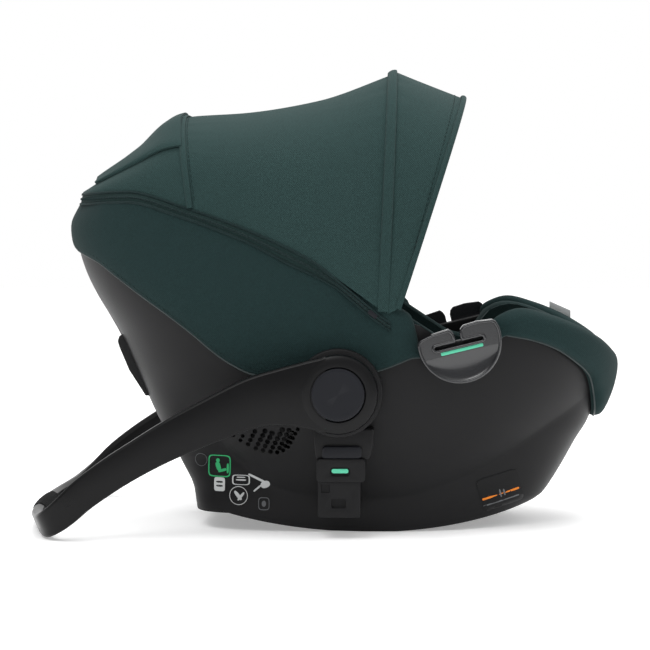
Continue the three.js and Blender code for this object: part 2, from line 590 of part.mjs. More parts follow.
// A point of the canopy: along from the head end (0) to the front bow (1), across from right (0) to left (1).
function canopyPoint(along, across, lift = 0) {
  const base = { x: CANOPY_BASE.x(along), y: CANOPY_BASE.y(along), z: CANOPY_BASE.z(along) };
  return archPoint(base, { x: CANOPY_TOP.x(along), z: CANOPY_TOP.z(along) }, across, lift);
}

// A point of the visor: along from the front bow (0) to the visor's wire (1).
function visorPoint(along, across, lift = 0) {
  const base = { x: lerp(CANOPY_BASE.x(1), VISOR.baseX, along), y: CANOPY_BASE.y(1),
    z: lerp(CANOPY_BASE.z(1), VISOR.baseZ, along) };
  const top = { x: lerp(CANOPY_TOP.x(1), VISOR.x, along), z: lerp(CANOPY_TOP.z(1), VISOR.z, along) };
  return archPoint(base, top, across, lift);
}

// Cloth on a surface of along and across, between two stations and two distances from the surface.
function cloth(surface, [from, to], [left, right], [outside, inside], rows, columns) {
  const grid = (distance) => count(rows, (r) => count(columns, (c) => {
    const [s, a] = [lerp(from, to, r / (rows - 1)), lerp(left, right, c / (columns - 1))];
    const d = 0.003;
    const [s0, s1] = [Math.max(0, s - d), Math.min(1, s + d)];
    const [a0, a1] = [Math.max(0.0005, a - d), Math.min(0.9995, a + d)];
    const normal = vec(0, 0, 0).crossVectors(surface(s1, a).sub(surface(s0, a)),
      surface(s, a1).sub(surface(s, a0))).normalize();
    if (normal.dot(vec(0, surface(s, a).y, surface(s, a).z - 200)) < 0) normal.negate();
    return surface(s, a).addScaledVector(normal, distance);
  }));
  return wallBetween(grid(outside), grid(inside));
}

// A wire bow that runs under an arch and ends beside the canopy's pivots or on the rim.
function bow(surface, along, under, trim, ends) {
  const arch = count(17, (i) => surface(along, lerp(trim, 1 - trim, i / 16), -under));
  const path = new THREE.CatmullRomCurve3(ends ? [vec(ends[0], -ends[1], ends[2]), ...arch,
    vec(ends[0], ends[1], ends[2])] : arch);
  return bar(path, BOW_RADIUS, 26, 6);
}

// ---------------------------------------------------------------- headrest
// It slides up a straight line in front of the backrest. s runs up the line and n is the distance in front of it.
const HEADREST = { x: -158, z: 180, alongX: -0.4755, alongZ: 0.8797, low: 15, high: 145, travel: 60, half: 125 };
const onBackrest = (s, y, n) => vec(HEADREST.x + s * HEADREST.alongX + n * HEADREST.alongZ, y,
  HEADREST.z + s * HEADREST.alongZ - n * HEADREST.alongX);

// How far the seat's lining stands in front of the line at a given y, over the headrest's whole travel.
function backrestDepth(y) {
  return Math.max(...count(12, (i) => {
    const s = lerp(HEADREST.low, HEADREST.high + HEADREST.travel, i / 11);
    let [low, high] = [-40, 160];
    for (let k = 0; k < 24; k++) {
      const n = (low + high) / 2;
      const p = onBackrest(s, y, n);
      if (p.z > cavityZ(p.x, y, 0)) high = n;
      else low = n;
    }
    return low;
  }));
}

function headrestLayer(back, front, [low, high], half, columns) {
  const outline = count(columns, (c) => {
    const y = half * Math.sin(lerp(-Math.PI / 2, Math.PI / 2, c / (columns - 1)));
    return new THREE.Vector2(y, backrestDepth(y) + 4);
  });
  const grid = (distance) => count(4, (r) => outline.map((p, c) => {
    const next = outline[Math.min(c + 1, columns - 1)].clone().sub(outline[Math.max(c - 1, 0)]).normalize();
    return onBackrest(lerp(low, high, r / 3), p.x - next.y * distance, p.y + next.x * distance);
  }));
  return wallBetween(grid(front), grid(back));
}

// ---------------------------------------------------------------- harness
const BUCKLE = { x: 62, z: 114, tilt: 0.35 };
const ADJUSTER = { x: 206, z: 129, tilt: -0.54 };
const STRAP = { width: 36, thickness: 1.6, lie: 23 }; // lie is the height of a strap above the seat's lining

// Moves a solid built about the origin into a fitting's place and tilt.
const placed = (geometry, { x, z, tilt }) => geometry.rotateY(tilt).translate(x, 0, z);
const inBuckle = (l, y, n) => [BUCKLE.x + l * Math.cos(BUCKLE.tilt) + n * Math.sin(BUCKLE.tilt), y,
  BUCKLE.z - l * Math.sin(BUCKLE.tilt) + n * Math.cos(BUCKLE.tilt)];
const onSeat = (x, y, lie) => [x, y, cavityZ(x, y, lie)];

// A rounded slab about the origin, drawn in x and y.
function slab(length, width, height, radius) {
  const shape = roundedRectangle(-length / 2, -width / 2, length / 2, width / 2, radius);
  return new THREE.ExtrudeGeometry(shape, { depth: height, bevelEnabled: false, curveSegments: 3 })
    .translate(0, 0, -height / 2);
}

function buckleBody() {
  const pocket = slab(20, 26, 11, 5).translate(8, 0, 6);
  return placed(cut(slab(54, 56, 17, 9), pocket), BUCKLE);
}
const buckleButton = () => placed(slab(19.2, 25.2, 5, 4.6).translate(8, 0, 6.8), BUCKLE);

function buckleTongue() {
  const body = slab(18, 24, 4, 3).translate(-27 - GAP - 9, -15, 0);
  return placed(cut(body, slab(5, 18, 9, 1).translate(-39.5, -15, 0)), BUCKLE);
}

function adjusterHousing() {
  return placed(cut(slab(42, 32, 8, 6), slab(22, 18, 8, 3).translate(-4, 0, 1.5 + GAP)), ADJUSTER);
}
const adjusterButton = () => placed(slab(21.2, 17.2, 4, 2.6).translate(-4, 0, 3.2), ADJUSTER);

const shoulderRoute = (lie) => [onSeat(-134, -38, lie), onSeat(-108, -36, lie), onSeat(-70, -32, lie + 8),
  onSeat(-35, -27, lie + 18), inBuckle(-62, -22, 1 + lie - STRAP.lie), inBuckle(-47.5, -21, 1 + lie - STRAP.lie)];
const lapRoute = [onSeat(-22, -108, STRAP.lie), onSeat(-14, -84, STRAP.lie), onSeat(-4, -58, STRAP.lie + 3),
  inBuckle(-50, -50, -4), inBuckle(-37, -34, -1)];

// ---------------------------------------------------------------- the assembly
const FINISHES = {
  shell: ['#1f1f21', 0.5, 0], liner: ['#d9d8d2', 0.9, 0], gloss: ['#222327', 0.25, 0], handle: ['#242426', 0.42, 0],
  cap: ['#2b2b31', 0.38, 0], mint: ['#58b396', 0.5, 0], cover: ['#263332', 0.95, 0], pad: ['#2b3534', 0.95, 0],
  inlay: ['#39403f', 0.95, 0], canopy: ['#3a4947', 0.8, 0], steel: ['#a9adb0', 0.35, 1], web: ['#26282a', 0.85, 0],
  fitting: ['#17181a', 0.4, 0], button: ['#8f2f2a', 0.45, 0], rail: ['#2a2a2c', 0.7, 0],
};
const seat = new THREE.Group();
seat.name = 'infant_car_seat';

function add(name, geometry, finish) {
  const [color, roughness, metalness] = FINISHES[finish];
  const mesh = new THREE.Mesh(geometry, new THREE.MeshStandardMaterial({ color, roughness, metalness }));
  mesh.name = name;
  seat.add(mesh);
}

function addPair(name, geometry, finish) {
  add(`${name}_right`, geometry, finish);
  add(`${name}_left`, mirrored(geometry), finish);
}

const wrap = (angle) => (angle + 2 * Math.PI) % (2 * Math.PI);
const headAngles = SHELL_ANGLES.filter((a) => wallPoint(a, 270).x < COVER_ENDS.head);
const footAngles = [...SHELL_ANGLES, ...SHELL_ANGLES.map((a) => a + 2 * Math.PI)]
  .filter((a) => a > Math.PI && a < 3 * Math.PI && wallPoint(wrap(a), 250).x > COVER_ENDS.foot);
const collarCut = drum(HUB.x, HUB.z, HUB.bossRadius + 1, -300, -120, 28);

add('outer_shell', outerShell(), 'shell');
add('shell_pan', trimmed(lining(-29.5, -25.5, 140, 20, 6)), 'shell');
add('foam_liner', trimmed(lining(-23, -13.5, 46, 24, 7)), 'liner');
add('seat_pad', lining(-10.5, 0, 5, 28, 8), 'pad');
addPair('rocker_rail', rockerRail(), 'rail');
addPair('hub_boss', hubBoss(), 'shell');
addPair('hub_axle', hubAxle(), 'steel');
addPair('adapter_housing', adapterHousing(), 'shell');
addPair('adapter_window', adapterWindow(), 'mint');
addPair('adapter_lever', adapterLever(), 'fitting');
addPair('belt_guide', beltGuide(), 'gloss');
addPair('belt_guide_strip', beltGuideStrip(), 'mint');
add('rear_belt_hook', rearBeltHook(), 'gloss');
for (const [name, x, z] of [['latch_bar_rear', -84, 38], ['latch_bar_front', 165, 38]]) {
  const reach = wallY(x, z) - WALL * 1.6 - GAP;
  add(name, drum(x, z, 4.5, -reach, reach, 14), 'steel');
}
add('handle_frame', handleFrame(), 'handle');
add('handle_grip', handleGrip(), 'rail');
addPair('handle_inner_cover', armCover(), 'handle');
addPair('release_button', releaseButton(), 'cap');

add('seat_cover_head', rimCover(headAngles, HEAD_COVER_EDGE_Z, 3, [collarCut, mirrored(collarCut)]), 'cover');
add('seat_cover_foot', rimCover(footAngles, FOOT_COVER_EDGE_Z, 17, []), 'cover');
add('newborn_inlay', seatPatch(-140, 128, (u) => 92 - 26 * (1 - u) ** 2 - 22 * u ** 4, 2.5, 15, 10, 8), 'inlay');

add('canopy_rear_panel', cloth(canopyPoint, [0.02, REAR_BOW_AT - 0.006], [0, 1], [0, -CANOPY_CLOTH], 6, 19), 'canopy');
add('canopy_rear_flap', cloth(canopyPoint, [0.18, 0.53], [0.26, 0.74], [6, 2.6], 5, 9), 'canopy');
add('canopy_main_panel', cloth(canopyPoint, [REAR_BOW_AT + 0.006, 0.985], [0, 1], [0, -CANOPY_CLOTH], 5, 19), 'canopy');
add('canopy_visor', cloth(visorPoint, [0.02, 1], [0, 1], [0, -CANOPY_CLOTH], 3, 19), 'canopy');
add('canopy_rear_bow', bow(canopyPoint, REAR_BOW_AT, 6.4, 0.012, null), 'steel');
add('canopy_front_bow', bow(canopyPoint, 0.99, 5.6, 0.02, [77, 190.2, 252]), 'steel');
add('visor_wire', bow(visorPoint, 0.97, 6.2, 0.02, [87, 190, 264]), 'steel');
addPair('canopy_pivot', drum(CANOPY_PIVOT.x, CANOPY_PIVOT.z, 9, CANOPY_PIVOT.y0, CANOPY_PIVOT.y1, 20), 'fitting');

add('headrest_shell', headrestLayer(0, 5, [HEADREST.low, HEADREST.high], HEADREST.half, 13), 'shell');
add('headrest_pad', headrestLayer(5.8, 19, [HEADREST.low + 2, HEADREST.high - 2], HEADREST.half - 3, 13), 'inlay');

addPair('shoulder_strap', band(shoulderRoute(STRAP.lie), [0, 1, 0], STRAP.width, STRAP.thickness), 'web');
addPair('shoulder_pad', band(shoulderRoute(STRAP.lie + 5.5).slice(0, 4), [0, 1, 0], 50, 7), 'inlay');
addPair('lap_strap', band(lapRoute, [1, -0.3, -0.2], 28, STRAP.thickness), 'web');
add('crotch_strap', band([onSeat(120, 0, 18), onSeat(108, 0, 22), inBuckle(36, 0, 0), inBuckle(27.6, 0, 0)],
  [0, 1, 0], STRAP.width, STRAP.thickness), 'web');
add('crotch_pad', band([onSeat(119, 0, 24), onSeat(108, 0, 28), inBuckle(38, 0, 7), inBuckle(29, 0, 7)],
  [0, 1, 0], 46, 6), 'inlay');
add('buckle_body', buckleBody(), 'fitting');
add('buckle_button', buckleButton(), 'button');
addPair('buckle_tongue', buckleTongue(), 'fitting');
add('adjuster_housing', adjusterHousing(), 'fitting');
add('adjuster_button', adjusterButton(), 'shell');
add('adjuster_strap', band([onSeat(232, 0, 6), onSeat(246, 0, 6), onSeat(262, 0, 5), onSeat(278, 0, 5)], [0, 1, 0], 25,
  1.6), 'web');

export default seat;
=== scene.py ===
# Infant car seat: the visual model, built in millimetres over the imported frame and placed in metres.
import math
import bmesh
import bpy
import numpy as np
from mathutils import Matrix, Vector


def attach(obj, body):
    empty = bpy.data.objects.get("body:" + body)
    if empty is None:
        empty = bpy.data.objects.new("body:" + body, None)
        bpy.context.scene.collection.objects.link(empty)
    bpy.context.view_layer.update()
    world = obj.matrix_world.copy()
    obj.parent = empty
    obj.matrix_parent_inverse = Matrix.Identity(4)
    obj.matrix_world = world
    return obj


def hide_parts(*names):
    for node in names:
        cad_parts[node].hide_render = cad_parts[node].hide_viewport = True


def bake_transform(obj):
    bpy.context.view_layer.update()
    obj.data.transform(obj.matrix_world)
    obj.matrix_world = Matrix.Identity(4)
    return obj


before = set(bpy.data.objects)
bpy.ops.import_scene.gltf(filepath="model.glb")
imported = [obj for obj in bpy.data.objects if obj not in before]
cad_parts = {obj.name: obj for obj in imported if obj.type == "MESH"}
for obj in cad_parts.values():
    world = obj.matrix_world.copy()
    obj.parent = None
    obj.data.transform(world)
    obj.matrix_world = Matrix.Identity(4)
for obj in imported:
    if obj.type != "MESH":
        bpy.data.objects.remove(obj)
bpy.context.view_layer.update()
MM = 0.001
WELD = 1e-6  # metres
TAU = 2 * math.pi

# ---------------------------------------------------------------- driving dimensions
HUB = (19.6, 166.8)
PIVOT = (78, 240)
ROCKER_X, ROCKER_FLAT, ROCKER_RADIUS = 55, 30, 650
SHELL_WALL = 4


def curve(*pairs):
    """A smooth curve through the pairs that never overshoots, as a function of its first value."""
    xs, ys = np.array(pairs, float).T
    slope = np.diff(ys) / np.diff(xs)
    a, b = slope[:-1], slope[1:]
    inner = np.where(a * b <= 0, 0, 2 * a * b / np.where(a + b == 0, 1, a + b))
    tangent = np.concatenate(([slope[0]], inner, [slope[-1]]))

    def value(x):
        x = np.clip(x, xs[0], xs[-1])
        i = np.clip(np.searchsorted(xs, x, side="right") - 1, 0, len(xs) - 2)
        h = xs[i + 1] - xs[i]
        t = (x - xs[i]) / h
        return ((2 * t**3 - 3 * t**2 + 1) * ys[i] + (t**3 - 2 * t**2 + t) * h * tangent[i]
            + (3 * t**2 - 2 * t**3) * ys[i + 1] + (t**3 - t**2) * h * tangent[i + 1])
    return value


HEAD_END_X = curve((0, -146), (12, -149), (25, -151), (44, -154.5), (72, -171), (123, -198.6),
    (166, -218), (194, -230), (224, -243), (274, -273), (303, -286), (325, -292), (350, -294),
    (378, -291.5), (420, -288))
FOOT_END_X = curve((0, 228), (22, 244), (34, 261), (46, 270), (72, 286), (99, 301), (120, 314),
    (150, 325), (180, 332), (210, 335), (420, 335))
RIM_Z = curve((-300, 378), (-222, 382), (-160, 366), (-89, 340), (-27, 309), (20, 290), (60, 278),
    (92, 257), (117.5, 240.4), (143, 224), (153, 217.5), (165, 214), (180, 216), (200, 246), (229, 256),
    (259, 249), (287, 238), (316, 220), (335, 200))
HEAD_COVER_EDGE_Z = curve((-294, 325), (-260, 311), (-240, 297), (-208, 274), (-175, 251), (-147, 230),
    (-124, 211), (-105, 198), (-79, 186), (-30, 178), (30, 182), (68, 192), (103, 206))
FOOT_COVER_EDGE_Z = curve((193, 236), (207, 231), (235, 225), (262, 215), (287, 198), (305, 180),
    (311, 163), (314.5, 143), (316.5, 118))
CREASE_Z = curve((-300, 320), (-250, 240), (-215, 188), (-171, 144), (-123, 105), (-85, 69), (-52, 52),
    (0, 41), (40, 38), (83, 40), (142, 56), (182, 73), (231, 102), (262, 122), (305, 150), (340, 178))
COVER_HEAD_END, COVER_FOOT_END = 105, 193.5
CAVITY_HEAD_X = curve((74, 40), (80, 0), (98, -60), (130, -110), (180, -158), (235, -198), (300, -233),
    (365, -258), (390, -264))
CAVITY_FOOT_X = curve((74, 60), (82, 120), (104, 178), (140, 234), (180, 274), (205, 292), (260, 299),
    (390, 299))
CAVITY_Y = curve((74, 20), (80, 78), (90, 98), (110, 118), (150, 136), (200, 147), (250, 152), (390, 152))
CAVITY_FLOOR_Z = 74
BASE_X = curve((0, -287), (0.15, -274), (0.35, -222), (0.55, -148), (0.7, -85), (0.85, -14), (1, 74))
BASE_Y = curve((0, 30), (0.15, 84), (0.35, 134), (0.55, 167), (0.7, 181), (0.85, 188.5), (1, 195))
BASE_Z = curve((0, 387.5), (0.15, 388.5), (0.35, 391), (0.55, 371), (0.7, 349), (0.85, 316), (1, 256))
TOP_X = curve((0, -288), (0.15, -266), (0.35, -213), (0.55, -164), (0.7, -88), (0.85, -6), (1, 86))
TOP_Z = curve((0, 391), (0.15, 404), (0.35, 440), (0.55, 480), (0.7, 486), (0.85, 500), (1, 533))
ARCH_POWER = 2.6
REAR_BOW_AT = 0.55
VISOR = (166, 502, 87, 262)  # x and z of its tip over the middle, then of its lower corners


def power(v, p):
    return np.sign(v) * np.abs(v) ** p


def halve(low, high, steps, is_low):
    """Closes in on a border between low and high. is_low says where a middle value still lies below it."""
    for _ in range(steps):
        middle = (low + high) / 2
        below = is_low(middle)
        low, high = np.where(below, middle, low), np.where(below, high, middle)
    return low, high


def rocker_z(x):
    rise = np.maximum(0, (x - ROCKER_X) ** 2 - ROCKER_FLAT**2) / (2 * ROCKER_RADIUS)
    return np.where(x < ROCKER_X, np.minimum(rise, 20), rise)


def swell(above, x):
    """How far the bowl stands beyond the skirt, by height above the crease. The head end is eased most."""
    softness = 2.5 + 90 * np.clip((-120 - x) / 130, 0, 1)
    eased = (above + np.sqrt(above**2 + softness**2)) / 2
    return 49 * (1 - np.exp(-eased / 52))


def squareness(toward_head, z):
    """Superellipse power of the plan. The heel of the shell, low at the head end, has squarer corners."""
    low = np.clip((85 - z) / 60, 0, 1)
    return 2.5 + 2.5 * low**2 * (3 - 2 * low) * toward_head


def wall(angle, z):
    """A point of the shell's outer wall, at an angle round the plan (0 at the foot end) and a height."""
    head, foot = HEAD_END_X(z), FOOT_END_X(z)
    s, c = np.sin(angle), np.cos(angle)
    p = 2 / squareness(c < 0, z)
    x = (head + foot) / 2 + (foot - head) / 2 * power(c, p)
    y = ((120 + 0.05 * z) + swell(z - CREASE_Z(x), x)) * power(s, p)
    return np.stack([x, y, z + 0 * x], -1)


def off_wall(angle, z, distance):
    """A point at a distance outside the wall, kept at its height."""
    angle, z, distance = np.broadcast_arrays(angle, z, distance)
    along = wall(angle + 0.01, z) - wall(angle - 0.01, z)
    up = wall(angle, z + 2) - wall(angle, z - 2)
    normal = np.cross(along, up)
    normal /= np.linalg.norm(normal, axis=-1, keepdims=True)
    p = wall(angle, z) + normal * distance[..., None]
    p[..., 2] = z
    return p


def meet(angle, height_at):
    """The height where the wall at each angle meets a curve of x."""
    low, high = halve(np.zeros_like(angle), np.full_like(angle, 400.0), 36,
        lambda z: z < height_at(wall(angle, z)[..., 0]))
    return (low + high) / 2


def wall_y(x, z):
    """Half width of the wall at x and z."""
    head, foot = HEAD_END_X(z), FOOT_END_X(z)
    t = np.clip((x - (head + foot) / 2) / ((foot - head) / 2), -1, 1)
    p = squareness(t < 0, z)
    return ((120 + 0.05 * z) + swell(z - CREASE_Z(x), x)) * (1 - np.abs(t) ** p) ** (1 / p)


def angle_at(x, z):
    """The angle between 0 and pi where the wall at height z passes x."""
    low, high = halve(0.0, math.pi, 40, lambda a: wall(np.array(a), np.array(float(z)))[0] > x)
    return float(low + high) / 2


def cavity(angle, z, inset=0.0):
    level = np.maximum(CAVITY_FLOOR_Z + 0.01, z - inset)
    head, foot = CAVITY_HEAD_X(level) + inset * 0.7, CAVITY_FOOT_X(level) - inset * 0.9
    x = (head + foot) / 2 + (foot - head) / 2 * power(np.cos(angle), 0.8)
    return np.stack([x, (CAVITY_Y(level) - inset) * power(np.sin(angle), 0.8), z + 0 * x], -1)


def cavity_z(x, y, inset=0.0):
    """Height of the seat's lining over x and y, moved inwards by inset."""
    x, y, inset = np.broadcast_arrays(np.asarray(x, float), np.asarray(y, float), np.asarray(inset, float))

    def outside(z):
        level = z - inset
        head, foot = CAVITY_HEAD_X(level) + inset * 0.7, CAVITY_FOOT_X(level) - inset * 0.9
        t = np.abs((x - (head + foot) / 2) / ((foot - head) / 2))
        return ~(t**2.5 + np.abs(y / (CAVITY_Y(level) - inset)) ** 2.5 < 1)
    low, high = halve(CAVITY_FLOOR_Z + inset + 0.0 * x, np.full_like(x, 400.0), 30, outside)
    return (low + high) / 2


def arch(base, top, across, lift=0.0):
    angle = across * math.pi
    side = power(np.cos(angle), 2 / ARCH_POWER)
    rise = np.abs(np.sin(angle)) ** (2 / ARCH_POWER)
    return np.stack(np.broadcast_arrays(base[0] + (top[0] - base[0]) * rise, -(base[1] + lift) * side,
        base[2] + (top[1] + lift - base[2]) * rise), -1)


def canopy(along, across, lift=0.0):
    return arch((BASE_X(along), BASE_Y(along), BASE_Z(along)), (TOP_X(along), TOP_Z(along)), across, lift)


def visor(along, across, lift=0.0):
    base = (BASE_X(1) + (VISOR[2] - BASE_X(1)) * along, BASE_Y(1) + 0 * along,
        BASE_Z(1) + (VISOR[3] - BASE_Z(1)) * along)
    return arch(base, (TOP_X(1) + (VISOR[0] - TOP_X(1)) * along,
        TOP_Z(1) + (VISOR[1] - TOP_Z(1)) * along), across, lift)


def off_sheet(surface, along, across, distance):
    """Points at a distance from a surface of along and across, outwards."""
    d = 0.002
    a0, a1 = np.maximum(along - d, 0), np.minimum(along + d, 1)
    c0, c1 = np.maximum(across - d, 5e-4), np.minimum(across + d, 1 - 5e-4)
    normal = np.cross(surface(a1, across) - surface(a0, across), surface(along, c1) - surface(along, c0))
    normal /= np.linalg.norm(normal, axis=-1, keepdims=True) + 1e-12
    p = surface(along, across)
    facing = normal[..., 1] * p[..., 1] + normal[..., 2] * (p[..., 2] - 200)
    return p + normal * np.where(facing < 0, -1, 1)[..., None] * np.asarray(distance)[..., None]


# ---------------------------------------------------------------- materials
def node(tree, kind, inputs=(), **settings):
    n = tree.nodes.new(kind)
    for key, value in settings.items():
        setattr(n, key, value)
    for key, value in dict(inputs).items():
        if isinstance(value, bpy.types.NodeSocket):
            tree.links.new(value, n.inputs[key])
        else:
            n.inputs[key].default_value = value
    return n


def mixed(tree, factor, a, b):
    """A colour between a and b."""
    n = tree.nodes.new("ShaderNodeMix")
    n.data_type = "RGBA"
    for socket, value in ((n.inputs[0], factor), (n.inputs[6], a), (n.inputs[7], b)):
        if isinstance(value, bpy.types.NodeSocket):
            tree.links.new(value, socket)
        else:
            socket.default_value = value if isinstance(value, float) else (*value, 1)
    return n.outputs[2]


def maths(tree, operation, a, b=0.0):
    return node(tree, "ShaderNodeMath", {0: a, 1: b}, operation=operation).outputs[0]


def noise(tree, place, scale, detail):
    return node(tree, "ShaderNodeTexNoise", {"Vector": place, "Scale": scale, "Detail": detail}).outputs[0]


def spread(tree, value, low, high, to_low, to_high):
    """A value between low and high, carried over to the range between to_low and to_high."""
    return node(tree, "ShaderNodeMapRange", {0: value, 1: low, 2: high, 3: to_low, 4: to_high}).outputs[0]


def shade(colour, factor):
    return tuple(min(1, c * factor) for c in colour)


def srgb(r, g, b):
    return tuple((c / 255) ** 2.2 for c in (r, g, b))


def start(name):
    m = bpy.data.materials.new(name)
    m.use_nodes = True
    return m, m.node_tree, m.node_tree.nodes["Principled BSDF"]


def finish_with(tree, shader, colour, rough, height, strength, distance):
    tree.links.new(colour, shader.inputs["Base Color"])
    tree.links.new(rough, shader.inputs["Roughness"])
    bump = node(tree, "ShaderNodeBump", {"Strength": strength, "Distance": distance, "Height": height})
    tree.links.new(bump.outputs[0], shader.inputs["Normal"])


def plastic(name, colour, rough=0.45, grain=0.25, edge_highlight=0.3, coat=0.0, metal=0.0):
    """Moulded plastic or, with metal, brushed steel: fine grain, cloudy gloss and a painted highlight on
    convex edges.
    """
    m, tree, shader = start(name)
    place = node(tree, "ShaderNodeTexCoord").outputs["Object"]
    fine = noise(tree, place, 1400.0, 2.0)
    cloud = noise(tree, place, 14.0, 4.0)
    tint = mixed(tree, cloud, shade(colour, 0.82), shade(colour, 1.2))
    # painted highlight: convex edges, found by pointiness, are mixed towards a paler colour as if they caught
    # the light
    edge = spread(tree, node(tree, "ShaderNodeNewGeometry").outputs["Pointiness"], 0.52, 0.62, 0.0, edge_highlight)
    edge_highlight_colour = tuple(0.8 * c + 0.012 for c in colour)
    tint = mixed(tree, edge, tint, shade(edge_highlight_colour, 1.5))
    gloss = maths(tree, "ADD", maths(tree, "MULTIPLY", cloud, 0.16), rough - 0.08)
    finish_with(tree, shader, tint, gloss, fine, grain, 0.0002)
    shader.inputs["Coat Weight"].default_value = coat
    shader.inputs["Coat Roughness"].default_value = 0.12
    shader.inputs["Metallic"].default_value = metal
    shader.inputs["Specular IOR Level"].default_value = 0.5 if metal or coat else 0.16
    return m


def fabric(name, colour, threads=2600.0, sheen=0.03, depth=0.5, melange=0.45, rough=0.9, rib=False):
    """Woven cloth: a plain weave seen square to each face, melange yarn with painted shade in the weave's
    hollows, and a soft sheen.
    """
    m, tree, shader = start(name)
    coords = node(tree, "ShaderNodeTexCoord")
    place, facing = coords.outputs["Object"], coords.outputs["Normal"]
    scaled = node(tree, "ShaderNodeVectorMath", {0: place, 3: threads}, operation="SCALE").outputs[0]
    wave = node(tree, "ShaderNodeVectorMath", {0: scaled}, operation="SINE").outputs[0]
    x, y, z = node(tree, "ShaderNodeSeparateXYZ", {0: wave}).outputs[:3]
    pairs = (x, x, x) if rib else (maths(tree, "MULTIPLY", y, z), maths(tree, "MULTIPLY", z, x),
        maths(tree, "MULTIPLY", x, y))
    weave = node(tree, "ShaderNodeCombineXYZ", dict(enumerate(pairs))).outputs[0]
    squared = node(tree, "ShaderNodeVectorMath", {0: facing, 1: facing}, operation="MULTIPLY").outputs[0]
    height = node(tree, "ShaderNodeVectorMath", {0: weave, 1: squared},
        operation="DOT_PRODUCT").outputs["Value"]
    yarn = noise(tree, place, 700.0, 3.0)
    cloud = noise(tree, place, 9.0, 4.0)
    tint = mixed(tree, cloud, shade(colour, 0.86), shade(colour, 1.14))
    # painted shade: the colour turns darker where the weave's relief lies low, mixed with the yarn's real
    # melange
    weave_shade_and_yarn = maths(tree, "ADD", maths(tree, "MULTIPLY", height, 0.3), yarn)
    tint = mixed(tree, spread(tree, weave_shade_and_yarn, 0.3, 0.8, 0.0, 1.0), shade(colour, 1 - melange), tint)
    tint = mixed(tree, maths(tree, "MULTIPLY", yarn, 0.3), tint, shade(colour, 1.7))
    gloss = maths(tree, "ADD", maths(tree, "MULTIPLY", yarn, 0.12), rough - 0.06)
    soft = noise(tree, place, 60.0, 3.0)
    relief = maths(tree, "ADD", height, maths(tree, "MULTIPLY", soft, 2.0))
    finish_with(tree, shader, tint, gloss, relief, depth, 0.0003)
    shader.inputs["Sheen Weight"].default_value = sheen
    shader.inputs["Sheen Roughness"].default_value = 0.5
    shader.inputs["Specular IOR Level"].default_value = 0.1
    return m


PLASTICS = {  # colour, then roughness, grain, painted edge highlight, coat and metal
    "shell_plastic": ((26, 26, 27), 0.46, 0.3), "gloss_plastic": ((27, 28, 31), 0.2, 0.04, 0.05, 0.5),
    "handle_plastic": ((18, 18, 19), 0.3, 0.15, 0.35), "cap_plastic": ((28, 29, 33), 0.42, 0.25),
    "rail_rubber": ((22, 22, 23), 0.7, 0.4), "foam": ((30, 30, 31), 0.85, 0.8, 0.05),
    "mint_plastic": ((88, 184, 150), 0.4, 0.1), "steel": ((178, 181, 184), 0.3, 0.1, 0.2, 0.0, 1.0),
    "button_red": ((158, 48, 42), 0.4, 0.15), "hem_light": ((58, 66, 66), 0.35, 0.1),
    "label_green": ((52, 150, 96), 0.4, 0.05, 0.0), "label_white": ((176, 178, 178), 0.45, 0.05, 0.0),
    "label_dark": ((20, 20, 21), 0.35, 0.05, 0.0), "label_orange": ((214, 120, 40), 0.4, 0.05, 0.0),
    "label_grey": ((92, 94, 96), 0.4, 0.05, 0.0)}
FABRICS = {  # colour, then threads, sheen, depth, melange and painted weave shade, roughness and whether it is ribbed
    "cover_fabric": ((35, 51, 51),), "pad_fabric": ((38, 52, 52), 2200.0, 0.04),
    "inlay_fabric": ((52, 64, 64), 1800.0, 0.05), "canopy_fabric": ((44, 62, 61), 2400.0, 0.04),
    "webbing": ((38, 40, 43), 3600.0, 0.03, 0.7, 0.45, 0.9, True), "piping": ((33, 47, 47), 4200.0, 0.05),
    "zip_tape": ((34, 49, 48), 3800.0, 0.04)}
COLOURS = {name: kind(name, srgb(*colour), *settings) for kind,
    table in ((plastic, PLASTICS), (fabric, FABRICS)) for name, (colour, *settings) in table.items()}


# ---------------------------------------------------------------- mesh tools
def quads(rows, columns, wrap=False, offset=0, flip=False):
    """Faces of a grid of points, stored row by row."""
    r, c = np.meshgrid(np.arange(rows - 1), np.arange(columns if wrap else columns - 1), indexing="ij")
    n = (c + 1) % columns
    faces = np.stack([r * columns + c, r * columns + n, (r + 1) * columns + n, (r + 1) * columns + c], -1)
    faces = faces.reshape(-1, 4) + offset
    return faces[:, ::-1].tolist() if flip else faces.tolist()


def make(name, points, faces, material, body=None, replaces=(), sharp=40, slot=None):
    """A mesh object in metres, welded, facing out, smooth but for edges sharper than an angle."""
    mesh = bpy.data.meshes.new(name)
    mesh.from_pydata((np.asarray(points, float).reshape(-1, 3) * MM).tolist(), [], faces)
    obj = bpy.data.objects.new(name, mesh)
    bpy.context.scene.collection.objects.link(obj)
    tidy(obj)
    mesh.materials.append(COLOURS[material])
    smooth(obj, sharp)
    if body:
        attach(obj, body)
    if replaces:
        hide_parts(*replaces)
    return obj


def tidy(obj):
    """Welds points that coincide, drops collapsed faces and turns the rest outwards."""
    b = bmesh.new()
    b.from_mesh(obj.data)
    bmesh.ops.remove_doubles(b, verts=b.verts, dist=WELD)
    bmesh.ops.dissolve_degenerate(b, edges=b.edges, dist=WELD / 10)
    bmesh.ops.recalc_face_normals(b, faces=b.faces)
    b.to_mesh(obj.data)
    b.free()


def smooth(obj, sharp=40):
    for p in obj.data.polygons:
        p.use_smooth = True
    obj.data.set_sharp_from_angle(angle=math.radians(sharp))


def bake(obj):
    """Applies an object's modifiers to its mesh."""
    graph = bpy.context.evaluated_depsgraph_get()
    graph.update()
    mesh = bpy.data.meshes.new_from_object(obj.evaluated_get(graph))
    obj.modifiers.clear()
    old, obj.data = obj.data, mesh
    bpy.data.meshes.remove(old)
    return obj


